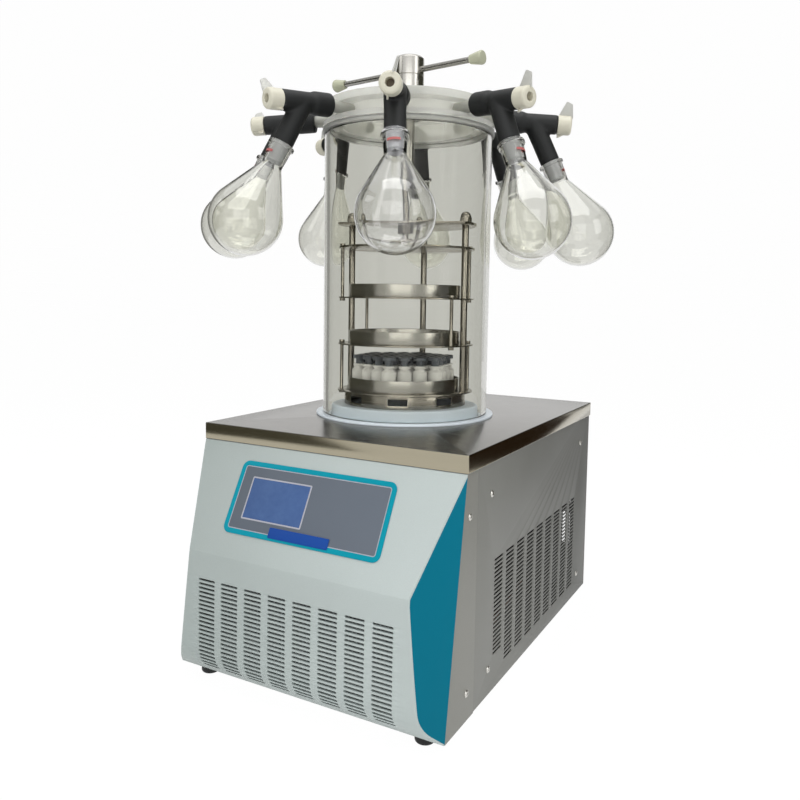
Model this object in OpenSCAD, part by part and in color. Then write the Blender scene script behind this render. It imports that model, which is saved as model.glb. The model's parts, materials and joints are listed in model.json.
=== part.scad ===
// Bench freeze dryer: a sheet-steel cabinet with its cooling machine and cold trap, a clear drum with
// eight flask valves on its lid, and a stoppering rack with three shelves that a T-bar presses down.
// X runs to the right along the front, Y to the back, Z up. The origin is on the floor, on the drum's axis.
// The cabinet's own sizes count from the middle of the top plate's front edge, and in_cabinet() moves them.

/* [Cabinet] */
// Width of the steel top plate
top_w = 400; // [380:1:440]
// Depth of the steel top plate
top_d = 510; // [490:1:560]
// Height of the steel top above the floor
top_z = 335; // [325:1:360]
// Height of the folded lip round the top plate
lip_h = 22.5; // [18:0.5:28]
// Thickness of the sheet steel
sheet_t = 1.5; // [1:0.1:2]
// Height of the rubber feet
foot_h = 14; // [10:1:18]
// Diameter of the rubber feet
foot_d = 26; // [22:1:34]
// Distance of the front feet ahead of the top plate's front edge
foot_front = 28; // [20:1:30]
// Distance of each foot from the cabinet's side and back
foot_in = 35; // [28:1:44]
// How far the front cover reaches back along the side
cover_depth = 31; // [24:1:40]
// Gap between the cabinet's sheets
sheet_gap = 0.3; // [0.2:0.05:0.6]

/* [Front cover] */
// Wall of the front cover
cover_t = 2.5; // [2:0.1:3.5]
// How far the fold below the panel stands ahead of the top edge
fold_out = 69; // [60:1:74]
// Height of that fold
fold_z = 182; // [172:1:192]
// Half length of that fold between the corner facets
fold_half = 162.5; // [156:0.5:168]
// How far the lower front stands ahead of the top edge
belly_out = 72; // [68:1:84]
// Height at which the lower front starts to turn under
belly_z = 60; // [54:1:66]
// How far the bottom edge stands ahead of the top edge
toe_out = 47; // [44:1:52]
// Radius of the turn at the belly
belly_r = 40; // [24:1:42]
// Radius of the fold
fold_r = 6; // [3:1:10]
// Thickness of the coloured corner facets
trim_t = 3; // [2:0.5:4]

/* [Air slots] */
// Length of a front air slot
front_slot_l = 27.5; // [22:0.5:30]
// Columns of front air slots
front_cols = 8; // [6:1:8]
// Distance between the front columns
front_pitch = 37.5; // [36:0.1:39]
// Rows of front air slots
front_rows = 22; // [16:1:23]
// Height of the top front row
front_slot_z = 146.4; // [140:0.2:150]
// Length of a side air slot
side_slot_l = 28.5; // [22:0.5:31]
// Columns of side air slots
side_cols = 9; // [6:1:9]
// Distance between the side columns
side_pitch = 39.3; // [38:0.1:41]
// Rows of side air slots
side_rows = 27; // [20:1:27]
// Rows left out of the first side column
side_short = 4; // [0:1:8]
// Height of the top side row
side_slot_z = 184; // [178:1:190]
// Place of the first side column behind the top plate's front edge
side_slot_y = 91; // [84:1:96]
// Height of an air slot
slot_h = 2.9; // [2:0.1:3.4]
// Distance between the rows
row_pitch = 5.55; // [5.2:0.05:6]

/* [Control panel] */
// Left edge of the panel's border, from the middle
panel_left = 119.4; // [112:0.2:124]
// Right edge of the panel's border, from the middle
panel_right = 115.2; // [108:0.2:120]
// Top edge of the border, down the slope
panel_top = 21.4; // [16:0.2:26]
// Bottom edge of the border, down the slope
panel_bottom = 117; // [114:0.5:122]
// Width of the border
border_w = 6.5; // [4:0.5:8]
// Corner radius of the border
panel_r = 10; // [6:1:12]
// Left edge of the screen
screen_left = 96.5; // [90:1:99]
// Right edge of the screen, left of the middle
screen_right = 2.7; // [0:0.1:10]
// Top of the screen, down the slope
screen_top = 41.2; // [38:0.2:48]
// Bottom of the screen, down the slope
screen_bottom = 96.8; // [92:0.2:98]
// Left end of the strip below the keys
strip_left = 46.6; // [42:0.2:52]
// Right end of that strip
strip_right = 43; // [38:1:50]
// Top of that strip, down the slope
strip_top = 100.8; // [99:0.2:104]
// Bottom of that strip, down the slope
strip_bottom = 114; // [111:0.5:116]

/* [Drum and lid] */
// Place of the drum's axis right of the middle
drum_x = -15; // [-20:1:0]
// Place of the drum's axis behind the top plate's front edge
drum_y = 235; // [220:1:250]
// Outer diameter of the drum
drum_d = 250; // [246:1:254]
// Wall of the drum
drum_wall = 8; // [6:0.5:9]
// Height of the drum's top edge
drum_top = 750; // [744:1:770]
// Thickness of the ring under the drum
base_ring_t = 3; // [2:0.5:5]
// How far that ring reaches out past the drum
base_ring_lip = 10; // [6:0.5:13]
// How far that ring reaches in past the drum's bore
base_ring_in = 5; // [3:0.5:5.5]
// Thickness of the dark ring under the lid
lid_ring_t = 7; // [5:0.5:9]
// Outer diameter of the lid's lower disc
lid_d = 256; // [254:1:262]
// Thickness of the lid's lower disc
flange_t = 8; // [6:0.5:9]
// Gap between the lid's two discs
spool_gap = 18; // [17.5:0.5:20]
// Inner radius of the lid's ring wall
ring_r = 97; // [94:1:100]
// Wall of the lid's ring
ring_wall = 8; // [6:0.5:10]
// Radius of the lid's upper disc
cap_disc_r = 125; // [122:1:127]
// Thickness of the lid's upper disc
cap_disc_t = 11; // [9:0.5:13]

/* [Flask valves] */
// Number of flask valves
ports = 8; // [8:1:8]
// Direction of the first valve, seen from above
port_az = -66.6; // [-70:0.1:-62]
// Radius of the tubes out of the lid
nipple_r = 8.4; // [7.6:0.1:8.6]
// Bore radius of these tubes
nipple_bore = 5; // [4:0.5:6]
// How far from the axis these tubes reach
nipple_end = 150; // [148:1:154]
// Distance of the valve's inner end from the axis
valve_in = 142; // [140:1:144]
// Distance of the valve's outer end from the axis
valve_out = 219.5; // [214:0.5:224]
// Radius of the valve's tube
valve_r = 14; // [13:0.5:15]
// Radius of the thicker inner end
collar_r = 16; // [15:0.5:17]
// Length of that thicker end
collar_l = 28; // [20:1:34]
// Clearance of the cap's plug and the nipple in the valve
plug_gap = 0.1; // [0.05:0.01:0.2]
// Radius of the valve's bore
valve_bore = 8.7; // [8.7:0.1:9.2]
// Distance of the branch from the axis
branch_at = 185; // [180:1:190]
// Slope of the branch below level
branch_slope = 62; // [56:1:66]
// Length of branch that shows above the flask
branch_l = 64; // [60:0.5:70]
// Radius of the branch
branch_r = 14.2; // [13:0.1:14.2]
// Radius of the ground cone where it enters the flask
cone_r = 12; // [11.6:0.1:12.4]
// Radius of the ground cone's tip
cone_tip_r = 10.7; // [10.4:0.1:11]
// Length of the ground cone in the flask's neck
cone_l = 26; // [22:1:29]
// Gap between the cone and the glass round it
cone_gap = 0.25; // [0.15:0.05:0.3]
// Slope of each valve's tube below level
valve_droop = 4; // [0:0.5:6]
// Bore radius of the branch
branch_bore = 4; // [3:0.5:5]
// Length of the valve cap
cap_l = 20; // [18:1:24]
// Gap between cap and valve
cap_gap = 0.3; // [0.2:0.1:0.6]
// Depth of the cap's plug in the valve
plug_l = 25; // [20:1:34]
// Height of the cap's fin above its axis
fin_h = 34; // [28:1:38]
// Thickness of the fin
fin_t = 2; // [1.5:0.1:3]

/* [Flasks] */
// Radius of the flask's ball
ball_r = 48.8; // [44:0.2:50]
// Distance of the ball's middle below the rim
ball_s = 111.4; // [106:0.2:116]
// Wall of the flask
glass_t = 2; // [1.5:0.1:2.6]
// Outer radius of the neck at the top
neck_r = 15.6; // [15:0.1:16]
// Outer radius of the neck at the bottom
neck_low_r = 13.9; // [13.6:0.1:14.4]
// Length of the neck
neck_l = 32; // [30:1:36]
// Radius of the bead round the rim
bead_r = 18; // [17.5:0.5:19]
// Height of the bead
bead_h = 5; // [4:0.5:7]

/* [Press] */
// Radius of the drive head
head_r = 21.5; // [20:0.5:23]
// Top of the drive head above the lid
head_h = 73; // [68:1:80]
// Height of the T-bar's axis above the lid
bar_h = 52.6; // [46:0.2:56]
// Radius of the T-bar
bar_r = 4.3; // [4:0.1:5]
// Half length of the T-bar with its knobs
bar_half = 138; // [124:1:144]
// Direction of the T-bar
bar_az = -8; // [-12:0.5:0]
// Length of a knob
knob_l = 21; // [18:1:30]
// Outer radius of a knob
knob_r = 9.8; // [8:0.2:11]
// Radius of a knob where the bar enters it
knob_in_r = 6.4; // [6:0.2:7.6]
// How far the bar has slid through the head, to the left
bar_slid = 10.5; // [0:0.5:14]
// Radius of the drive tube
tube_r = 8.5; // [8:0.1:9]
// Length of the drive tube below the lid's top face
tube_l = 110; // [100:1:114]
// Radius of the bush in the lid
bush_r = 12; // [11:0.5:14]
// Running clearance of the drive tube and the screw
run_gap = 0.08; // [0.05:0.01:0.1]
// Width across flats of the hex shank
hex_af = 10; // [9:0.1:10.4]
// Clearance across the flats of the hex socket
hex_gap = 0.2; // [0.1:0.05:0.4]
// Length of the hex shank
hex_l = 80; // [78:1:84]
// Depth of the hex socket
socket_l = 84; // [84:1:90]
// Radius of the screw's thread
screw_r = 6; // [5.8:0.1:7]
// Downward travel of the press plate
press_travel = 66; // [60:1:66]

/* [Rack] */
// Radius of the steel skirt under the rack
skirt_r = 92; // [89:0.5:93]
// Height of the skirt
skirt_h = 19.5; // [16:0.5:24]
// Radius of the white ring at the trap's mouth
collar_out = 111; // [106:1:112]
// Height of the white ring
collar_h = 18; // [14:1:22]
// Radius of the shelves
shelf_r = 102.5; // [100:0.5:104]
// Thickness of the shelves
shelf_t = 2; // [1.5:0.1:3]
// Height of the second shelf above the lowest
shelf_2_up = 69; // [66:1:74]
// Height of the third shelf above the lowest
shelf_1_up = 137; // [134:1:142]
// Height of the press plate above the lowest shelf
press_up = 208; // [205:1:212]
// Height of the fixed plate above the lowest shelf
rack_top_up = 243; // [240:1:248]
// Thickness of the press plate
press_t = 3; // [2.5:0.5:4]
// Thickness of the fixed plate
rack_top_t = 4; // [3:0.5:5]
// Radius of the fixed plate
rack_top_r = 104; // [100:1:106]
// Distance of the fixed plate's straight edge from the axis
rack_chord = 38; // [30:1:46]
// Radius of the posts
post_r = 5; // [4.5:0.5:5.5]
// Radius of the circle that the posts stand on
post_circle = 90; // [89:0.5:91]
// Direction of the first post
post_az = 11; // [6:1:16]
// Clearance of the posts in the sliding plates
post_gap = 0.3; // [0.2:0.05:0.5]
// Radius of the link rods
rod_r = 2.5; // [2:0.1:2.6]
// Radius of the circle that the link rods stand on
rod_circle = 97; // [96.5:0.1:97.5]
// Radius of a link rod's head
rod_head_r = 4; // [3.6:0.1:4.4]
// Height of a link rod's head
rod_head_h = 4; // [3:0.5:5]
// Direction of the first pair of link rods
rod_az = 35; // [32:1:40]
// Direction of the second pair of link rods
rod_az_2 = 160.5; // [156:0.5:164]

/* [Trays and vials] */
// Radius of the trays
tray_r = 84; // [83:0.5:84.5]
// Height of the trays
tray_h = 19; // [16:1:24]
// Wall of the trays
tray_t = 1.5; // [1:0.1:2]
// How far the trays sit forward of the axis
tray_off = 7.5; // [0:0.5:8]
// Diameter of a vial
vial_d = 22; // [20:0.5:22]
// Distance between vials
vial_pitch = 22.6; // [22.5:0.1:23]
// Height of a vial
vial_h = 37.5; // [34:0.5:38]
// Height of a stopper above its vial
stopper_h = 13; // [10:0.5:13]
// How far the stoppers sink
stopper_travel = 7; // [5:0.5:7]
// Rings of vials round the middle one
vial_rings = 3; // [1:1:3]

/* [Cold trap and cooling] */
// Inner radius of the cold trap
trap_r = 84; // [80:1:85]
// Bottom of the cold trap above the floor
trap_z = 132; // [120:1:150]
// Radius of the copper tube
copper_r = 4; // [3:0.5:4.5]
// Turns of the evaporator coil
coil_turns = 7; // [4:1:8]
// Wall of the foam jacket
foam_t = 20; // [14:1:22]
// Radius of the compressor
comp_r = 60; // [52:1:62]
// Height of the compressor
comp_h = 170; // [150:1:190]
// Distance of the compressor's axis from the top plate's right edge
comp_side = 82; // [76:1:88]
// Distance of the compressor's axis from the back sheet
comp_back = 83.2; // [78:0.1:90]
// Radius of the fan's blades
fan_r = 56; // [46:1:58]
// Height of the fan's axis
fan_z = 92; // [90:1:98]

/* [Back fittings] */
// Height of the vacuum port
vac_z = 250; // [235:1:260]
// Outer radius of the vacuum port's flange
vac_flange_r = 20; // [18:0.5:22]
// Bore radius of the vacuum port
vac_bore_r = 12; // [10:0.5:13]
// Length of the vacuum port behind the back sheet
vac_out = 30; // [24:1:36]
// Depth of the wider seat in the vacuum port's mouth
vac_seat_l = 22; // [16:1:24]
// Height of the power inlet and switch
inlet_z = 60; // [54:1:70]
// Distance of the power inlet from the top plate's left edge
inlet_side = 50; // [44:1:60]
// Place of the drain valve left of the middle
drain_x = 70; // [60:1:80]

/* [Hidden] */
$fn = 48;
eps = 0.01;
far = 600;

// Cabinet
half_w = top_w / 2;
lip_z = top_z - lip_h;
under_top = top_z - sheet_t;
side_x = half_w - sheet_t - sheet_gap;
cover_half = half_w - 1;
back_y = top_d - sheet_t - sheet_gap;
pan_z = foot_h + sheet_t;
pan_half = side_x - sheet_t - sheet_gap;
pan_front = -(toe_out - cover_t - sheet_gap - 1);
pan_back = back_y - sheet_t - sheet_gap;
upright_w = 20;
screw_r_head = 4.5;
screw_head_t = 2;
side_screw_in = 50;
screw_before = 15;
screw_high = lip_z - 39.5;
screw_low = foot_h + 34.5;

// Front cover's outline, as points of Y and Z
fold_pt = [-fold_out, fold_z];
belly_pt = [-belly_out, belly_z];
toe_pt = [-toe_out, foot_h];
belly_corner = [-belly_out, foot_h + belly_out - toe_out];
slope_deg = atan2(lip_z - fold_z, fold_out);
// The cover's hollow is its own outline moved back by this, so that its sloped walls keep their thickness
cavity_back = cover_t * 1.2;
facet_a = [cover_half, 0, lip_z];
facet_b = [fold_half, -fold_out, fold_z];
facet_c = [cover_half, -toe_out, foot_h];
facet_cross = cross(facet_b - facet_a, facet_c - facet_a);
facet_n = facet_cross / norm(facet_cross) * sign(facet_cross[0]);

// Drum, lid and press levels
drum_r = drum_d / 2;
drum_in = drum_r - drum_wall;
drum_z = top_z + base_ring_t;
lid_z = drum_top + lid_ring_t;
flange_top = lid_z + flange_t;
disc_z = flange_top + spool_gap;
lid_top = disc_z + cap_disc_t;
port_z = flange_top + spool_gap / 2 - 0.5;
boss_t = 3;
boss_r = 20;
bush_nut_r = 17;
head_z = lid_top + boss_t + cap_gap;
head_top = lid_top + head_h;
bar_z = lid_top + bar_h;
tube_z = lid_top - tube_l;
socket_top = tube_z + socket_l;

// Rack levels
collar_z = top_z + sheet_t;
skirt_z = top_z + collar_h;
shelf_3_z = skirt_z + skirt_h;
shelf_3_top = shelf_3_z + shelf_t;
shelf_2_top = shelf_3_top + shelf_2_up;
shelf_1_top = shelf_3_top + shelf_1_up;
press_z = shelf_3_top + press_up;
press_top = press_z + press_t;
rack_top_z = shelf_3_top + rack_top_up;
rack_top_top = rack_top_z + rack_top_t;
cup_h = 5;
cup_r = 14;
screw_z = press_top;
thread_top = tube_z - 4;
hex_top = thread_top + 2 + hex_l;
nut_drop = 16;
post_list = [post_az, post_az + 90, post_az + 180];
front_az = post_az + 270;
vial_r = vial_d / 2;
vial_z = shelf_3_top + tray_t;
vial_top = vial_z + vial_h;

// Cold trap and cooling
trap_wall = 1.5;
trap_out = trap_r + trap_wall;
coil_r = trap_out + copper_r + 0.9;
foam_in = coil_r + copper_r + 1.6;
foam_out = foam_in + foam_t;
foam_z = trap_z - foam_t;
hole_r = trap_out + 4;
pipe_sides = 8;
comp_x = half_w - comp_side;
comp_y = back_y - comp_back;
comp_lift = 12;
cond_w = 280;
cond_h = 116;
cond_deep = 24;
cond_gap = 4;
fan_y = pan_front + 58;
vac_r = vac_bore_r + 2;
stub_l = foam_out + 4;
drain_z = trap_z + 12;
drain_r = 6;
drain_out = 34;
drain_bore = 4;
coil_z = drain_z + drain_r + copper_r + 3;
coil_top = vac_z - vac_r - copper_r - 3;
coil_pitch = (coil_top - coil_z) / coil_turns;
drain_stub = trap_out + 2;
pipe_lead = foam_out + 10;
inlet_x = half_w - inlet_side;
switch_x = 32.5;
lever_r = 3;
switch_w = 11;
stem_l = 14;
stem_r = 7;
mouth_gap = 0.8;

port_angles = [for (i = [0 : ports - 1]) port_az + i * 360 / ports];
// Rest turn of each cap about its own tube
cap_turns = [-17, 0, 12, -8, 20, 5, 40, 30];
// Turn of each valve on its port, seen from outside
valve_turns = [4, -3, -4, 0, -4, -8, 13, -9];

// ---- Shapes used again ----

function arc_points(c, r, a0, a1, n) = [for (i = [0 : n]) c + r * [cos(a0 + (a1 - a0) * i / n), sin(a0 + (a1 - a0) * i / n)]];
function unit(v) = v / norm(v);
// Round corner at b on the way from a to c, with radius r
function round_corner(a, b, c, r, n) =
    let (u = unit(a - b), v = unit(c - b), half = acos(u * v) / 2, m = b + unit(u + v) * r / sin(half),
        p = b + u * r / tan(half) - m, q = b + v * r / tan(half) - m, a0 = atan2(p[1], p[0]),
        turn = atan2(q[1], q[0]) - a0, swing = turn > 180 ? turn - 360 : turn < -180 ? turn + 360 : turn)
    arc_points(m, r, a0, a0 + swing, n);
function bowed(a, b, c, n) = [for (i = [1 : n]) let (t = i / n) (1 - t) * (1 - t) * a + 2 * t * (1 - t) * b + t * t * c];

module at_drum(z = 0) {
    translate([0, 0, z]) children();
}

module in_cabinet() {
    translate([-drum_x, -drum_y, 0]) children();
}

module tube(r_out, r_in, h) {
    difference() {
        cylinder(h = h, r = r_out);
        translate([0, 0, -1]) cylinder(h = h + 2, r = r_in);
    }
}

module rounded_rect(x0, y0, x1, y1, r) {
    polygon(concat(
        arc_points([x0 + r, y0 + r], r, 180, 270, 6), arc_points([x1 - r, y0 + r], r, 270, 360, 6),
        arc_points([x1 - r, y1 - r], r, 0, 90, 6), arc_points([x0 + r, y1 - r], r, 90, 180, 6)));
}

// A slot with tapered ends, its middle at the origin
module slot_outline(l, h) {
    e = h * 0.3;
    polygon([[-l / 2, -e / 2], [-l / 2 + e, -h / 2], [l / 2 - e, -h / 2], [l / 2, -e / 2],
        [l / 2, e / 2], [l / 2 - e, h / 2], [-l / 2 + e, h / 2], [-l / 2, e / 2]]);
}

module ring_of(angles, r) {
    for (a = angles) rotate([0, 0, a]) translate([r, 0, 0]) children();
}

// Front cover as a full block, moved in by a wall and carried down by a drop
module cover_outline(back) {
    polygon(concat(
        [[back, lip_z - sheet_gap], [-sheet_gap * fold_out / (lip_z - fold_z), lip_z - sheet_gap]],
        round_corner([0, lip_z], fold_pt, belly_pt, fold_r, 5),
        bowed(fold_pt + [-1, -8], [-belly_out, (fold_z + belly_z) * 0.45], belly_pt, 6),
        round_corner(belly_pt + [0, 1], belly_corner, toe_pt, belly_r, 8),
        [toe_pt, [back, foot_h]]));
}

module cover_block(half, back) {
    translate([half, 0, 0]) rotate([90, 0, -90]) mirror([1, 0, 0]) linear_extrude(2 * half) cover_outline(back);
}

// Everything outside a corner facet, pushed out by d
module beyond_facet(d) {
    translate(facet_a) rotate([0, -asin(facet_n[2]), atan2(facet_n[1], facet_n[0])])
        translate([d, -far, -far]) cube([far, 2 * far, 2 * far]);
}

module beyond_facets(d) {
    beyond_facet(d);
    mirror([1, 0, 0]) beyond_facet(d);
}

// Puts its children on the sloped face: X right, Y up the slope, Z out of it
module on_slope() {
    translate([0, 0, lip_z]) rotate([slope_deg, 0, 0]) children();
}

module slope_rect(x0, x1, s0, s1, r, z0, z1) {
    translate([0, 0, z0]) linear_extrude(z1 - z0) rounded_rect(x0, -s1, x1, -s0, r);
}

// ---- Cabinet ----

module base_pan() {
    color("gainsboro") in_cabinet() {
        difference() {
            union() {
                translate([-pan_half, pan_front, foot_h]) cube([2 * pan_half, pan_back - pan_front, sheet_t]);
                for (m = [0, 1]) mirror([m, 0, 0]) {
                    translate([pan_half - sheet_t, cover_depth, pan_z]) cube([sheet_t, pan_back - cover_depth, 20]);
                    for (y = [cover_depth + 14, pan_back - upright_w])
                        translate([pan_half - upright_w, y, pan_z - eps]) difference() {
                            cube([upright_w, upright_w, under_top - pan_z + eps]);
                            translate([-1, sheet_t, -1])
                                cube([upright_w + 1 - sheet_t, upright_w, under_top - pan_z + 4]);
                        }
                }
                translate([-pan_half, pan_back - sheet_t, pan_z]) cube([2 * pan_half, sheet_t, 20]);
            }
            for (x = [-60 : 20 : 60]) translate([x - 3, 120, foot_h - 1]) cube([6, 120, sheet_t + 2]);
            translate([0, cavity_back, 0]) beyond_facets(-trim_t - cover_t - sheet_gap);
        }
    }
}

module feet() {
    color("black") in_cabinet() for (x = [-half_w + foot_in, half_w - foot_in], y = [-foot_front, top_d - foot_in])
        translate([x, y, 0]) rotate_extrude() polygon(concat([[0, 0], [foot_d / 2 - 5, 0]],
            arc_points([foot_d / 2 - 5, 5], 5, -90, 0, 4), [[foot_d / 2 - 2, foot_h], [0, foot_h]]));
}

module side_sheet() {
    translate([side_x - sheet_t, 0, 0]) rotate([90, 0, 90]) linear_extrude(sheet_t) difference() {
        translate([cover_depth + sheet_gap, foot_h])
            square([back_y - cover_depth - sheet_gap, under_top - foot_h]);
        for (c = [0 : side_cols - 1], r = [0 : side_rows - 1 - (c == 0 ? side_short : 0)])
            translate([side_slot_y + side_slot_l / 2 + c * side_pitch, side_slot_z - r * row_pitch])
                slot_outline(side_slot_l, slot_h);
    }
}

module side_panel_right() {
    color("darkgray") in_cabinet() side_sheet();
}

module side_panel_left() {
    color("darkgray") in_cabinet() mirror([1, 0, 0]) side_sheet();
}

module back_panel() {
    color("silver") in_cabinet() translate([0, back_y, 0]) rotate([90, 0, 0]) linear_extrude(sheet_t) difference() {
        translate([-pan_half, foot_h]) square([2 * pan_half, under_top - foot_h]);
        for (i = [0 : 11], r = [0 : 1])
            translate([comp_x - 66 + i * 12, 110 + r * 70]) rotate([0, 0, 90]) slot_outline(56, 5);
        translate([-inlet_x - 14, inlet_z - 12]) square([28, 24]);
        translate([-inlet_x + switch_x - switch_w / 2 - 0.3, inlet_z - 10.5]) square([switch_w + 0.6, 21]);
        translate([drum_x, vac_z]) circle(r = vac_r + 0.4);
        translate([-drain_x, drain_z]) circle(r = drain_r + 0.4);
    }
}

module panel_screws() {
    color("silver") in_cabinet() {
        for (m = [0, 1]) mirror([m, 0, 0]) {
            for (y = [side_slot_y - screw_before, back_y - side_screw_in], z = [screw_high, screw_low])
                translate([side_x, y, z]) rotate([0, 90, 0]) pan_screw();
            for (z = [screw_high - 12, screw_low])
                translate([cover_half, 9, z]) rotate([0, 90, 0]) pan_screw();
        }
        for (x = [-150, 0, 150], z = [screw_low - 20, lip_z - 10])
            translate([x, back_y, z]) rotate([-90, 0, 0]) pan_screw();
    }
}

// Pan head with a cross, standing on the sheet
module pan_screw() {
    difference() {
        rotate_extrude() polygon(concat([[0, 0], [screw_r_head, 0]],
            arc_points([screw_r_head - 1.4, 0.6], 1.4, 0, 90, 4), [[0, screw_head_t]]));
        for (a = [0, 90]) rotate([0, 0, a]) translate([-2.4, -0.4, screw_head_t - 1]) cube([4.8, 0.8, 2]);
    }
}

module front_bezel() {
    color("lightcyan") in_cabinet() difference() {
        cover_block(cover_half, cover_depth);
        translate([0, cavity_back, 0]) intersection() {
            union() {
                cover_block(cover_half - cover_t, far);
                translate([-cover_half + cover_t, -toe_out, 0]) cube([2 * (cover_half - cover_t), far, foot_h + eps]);
            }
            translate([-far, -far, 0]) cube([2 * far, 2 * far, lip_z - cover_t]);
            difference() {
                translate([-far, -far, 0]) cube([2 * far, 3 * far, far]);
                beyond_facets(-trim_t - cover_t);
            }
        }
        beyond_facets(-trim_t);
        on_slope() slope_rect(-screen_left + 2, -screen_right - 2, screen_top + 2, screen_bottom - 2, 1, -20, 5);
        translate([0, pan_front, 0]) rotate([90, 0, 0]) linear_extrude(belly_out) front_slots();
    }
}

module front_slots() {
    for (c = [0 : front_cols - 1], r = [0 : front_rows - 1])
        translate([(c - (front_cols - 1) / 2) * front_pitch, front_slot_z - r * row_pitch])
            slot_outline(front_slot_l, slot_h);
}

module side_trims() {
    color("teal") in_cabinet() for (m = [0, 1]) mirror([m, 0, 0]) difference() {
        intersection() {
            cover_block(cover_half, cover_depth);
            beyond_facet(-trim_t);
        }
        beyond_facet(0);
    }
}

module panel_frame() {
    color("darkturquoise") in_cabinet() on_slope() difference() {
        slope_rect(-panel_left, panel_right, panel_top, panel_bottom, panel_r, 0, 1.2);
        slope_rect(-panel_left + border_w, panel_right - border_w, panel_top + border_w,
            panel_bottom - border_w, panel_r - border_w + 1, -1, 2);
    }
}

module panel_face() {
    color("dimgray") in_cabinet() on_slope() difference() {
        slope_rect(-panel_left + border_w, panel_right - border_w, panel_top + border_w,
            panel_bottom - border_w, panel_r - border_w + 1, 0, 0.8);
        slope_rect(-screen_left, -screen_right, screen_top, screen_bottom, 1.5, -1, 2);
    }
}

module display() {
    color("steelblue") in_cabinet() on_slope() {
        slope_rect(-screen_left + 0.2, -screen_right - 0.2, screen_top + 0.2, screen_bottom - 0.2, 1.5, 0.1, 1);
        slope_rect(-screen_left + 2.4, -screen_right - 2.4, screen_top + 2.4, screen_bottom - 2.4, 1, -7, 0.1);
    }
}

module label_plate() {
    color("royalblue") in_cabinet() on_slope()
        slope_rect(-strip_left, strip_right, strip_top, strip_bottom, 2, 1.2, 2);
}

module top_plate() {
    color("silver") in_cabinet() difference() {
        translate([-half_w, 0, lip_z]) cube([top_w, top_d, lip_h]);
        translate([-half_w + sheet_t, sheet_t, lip_z - 1])
            cube([top_w - 2 * sheet_t, top_d - 2 * sheet_t, lip_h + 1 - sheet_t]);
        translate([drum_x, drum_y, lip_z]) cylinder(h = far, r = hole_r);
    }
}

// ---- Cold trap and cooling ----

module cold_trap() {
    color("silver") at_drum() difference() {
        union() {
            translate([0, 0, trap_z]) cylinder(h = top_z - trap_z, r = trap_out);
            translate([0, 0, top_z]) cylinder(h = sheet_t, r = collar_out - 1);
            translate([0, 0, vac_z]) rotate([-90, 0, 0]) cylinder(h = stub_l, r = vac_r);
            translate([-drain_x - drum_x, 0, drain_z]) rotate([-90, 0, 0]) cylinder(h = drain_stub, r = drain_r);
        }
        translate([0, 0, trap_z + trap_wall]) cylinder(h = far, r = trap_r);
        translate([0, 0, vac_z]) rotate([-90, 0, 0]) cylinder(h = far, r = vac_bore_r);
        translate([-drain_x - drum_x, 0, drain_z]) rotate([-90, 0, 0]) cylinder(h = far, r = drain_bore);
    }
}

module trap_collar() {
    color("white") at_drum(collar_z) tube(collar_out, trap_r, collar_h - sheet_t);
}

module trap_insulation() {
    color("khaki") at_drum() difference() {
        translate([0, 0, foam_z]) cylinder(h = under_top - foam_z, r = foam_out);
        translate([0, 0, trap_z - sheet_gap]) cylinder(h = far, r = foam_in);
        translate([0, 0, vac_z]) rotate([-90, 0, 0]) cylinder(h = far, r = vac_r + 1);
        translate([-drain_x - drum_x, 0, drain_z]) rotate([-90, 0, 0]) cylinder(h = far, r = drain_r + 1);
        translate([coil_r, 0, coil_z]) rotate([90, 0, 0]) cylinder(h = far, r = copper_r + 1);
        translate([coil_r, 0, coil_top]) rotate([-90, 0, 0]) cylinder(h = far, r = copper_r + 1);
    }
}

// A round tube with flat sides along a list of points
function dir_at(p, i) = unit((i < len(p) - 1 ? p[i + 1] : p[i]) - (i > 0 ? p[i - 1] : p[i]));
function side_of(t) = unit(cross(t, abs(t[2]) < 0.9 ? [0, 0, 1] : [1, 0, 0]));
module swept_tube(p, r, n) {
    rings = [for (i = [0 : len(p) - 1]) let (t = dir_at(p, i), u = side_of(t), v = cross(t, u))
        for (k = [0 : n - 1]) p[i] + r * (u * cos(360 * k / n) + v * sin(360 * k / n))];
    walls = [for (i = [0 : len(p) - 2], k = [0 : n - 1]) let (a = i * n + k, b = i * n + (k + 1) % n)
        each [[a, a + n, b + n], [a, b + n, b]]];
    last = (len(p) - 1) * n;
    ends = concat([for (k = [1 : n - 2]) [0, k, k + 1]], [for (k = [1 : n - 2]) [last, last + k + 1, last + k]]);
    polyhedron(points = rings, faces = concat(walls, ends));
}

module evaporator_coil() {
    steps = 30;
    helix = [for (i = [0 : coil_turns * steps]) let (a = 360 * i / steps)
        [coil_r * cos(a), coil_r * sin(a), coil_z + coil_pitch * i / steps]];
    start = [for (y = [-pipe_lead, -pipe_lead / 2, -8]) [coil_r, y, coil_z]];
    finish = [for (y = [8, pipe_lead / 2, pipe_lead]) [coil_r, y, coil_top]];
    color("peru") at_drum() swept_tube(concat(start, helix, finish), copper_r, pipe_sides);
}

module compressor() {
    color("dimgray") in_cabinet() translate([comp_x, comp_y, pan_z]) {
        translate([0, 0, comp_lift]) rotate_extrude() polygon(concat([[0, 0], [comp_r - 16, 0]],
            arc_points([comp_r - 16, 16], 16, -90, 0, 5), arc_points([comp_r - 30, comp_h - 40], 30, 0, 90, 6),
            [[0, comp_h - 10]]));
        for (x = [-44, 44], y = [-44, 44]) translate([x, y, 0]) {
            cylinder(h = comp_lift, r = 9);
            translate([0, 0, comp_lift - 3]) cylinder(h = 4, r = 14);
        }
        translate([-52, -52, comp_lift - 3]) cube([104, 104, 3 + eps]);
    }
}

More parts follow.
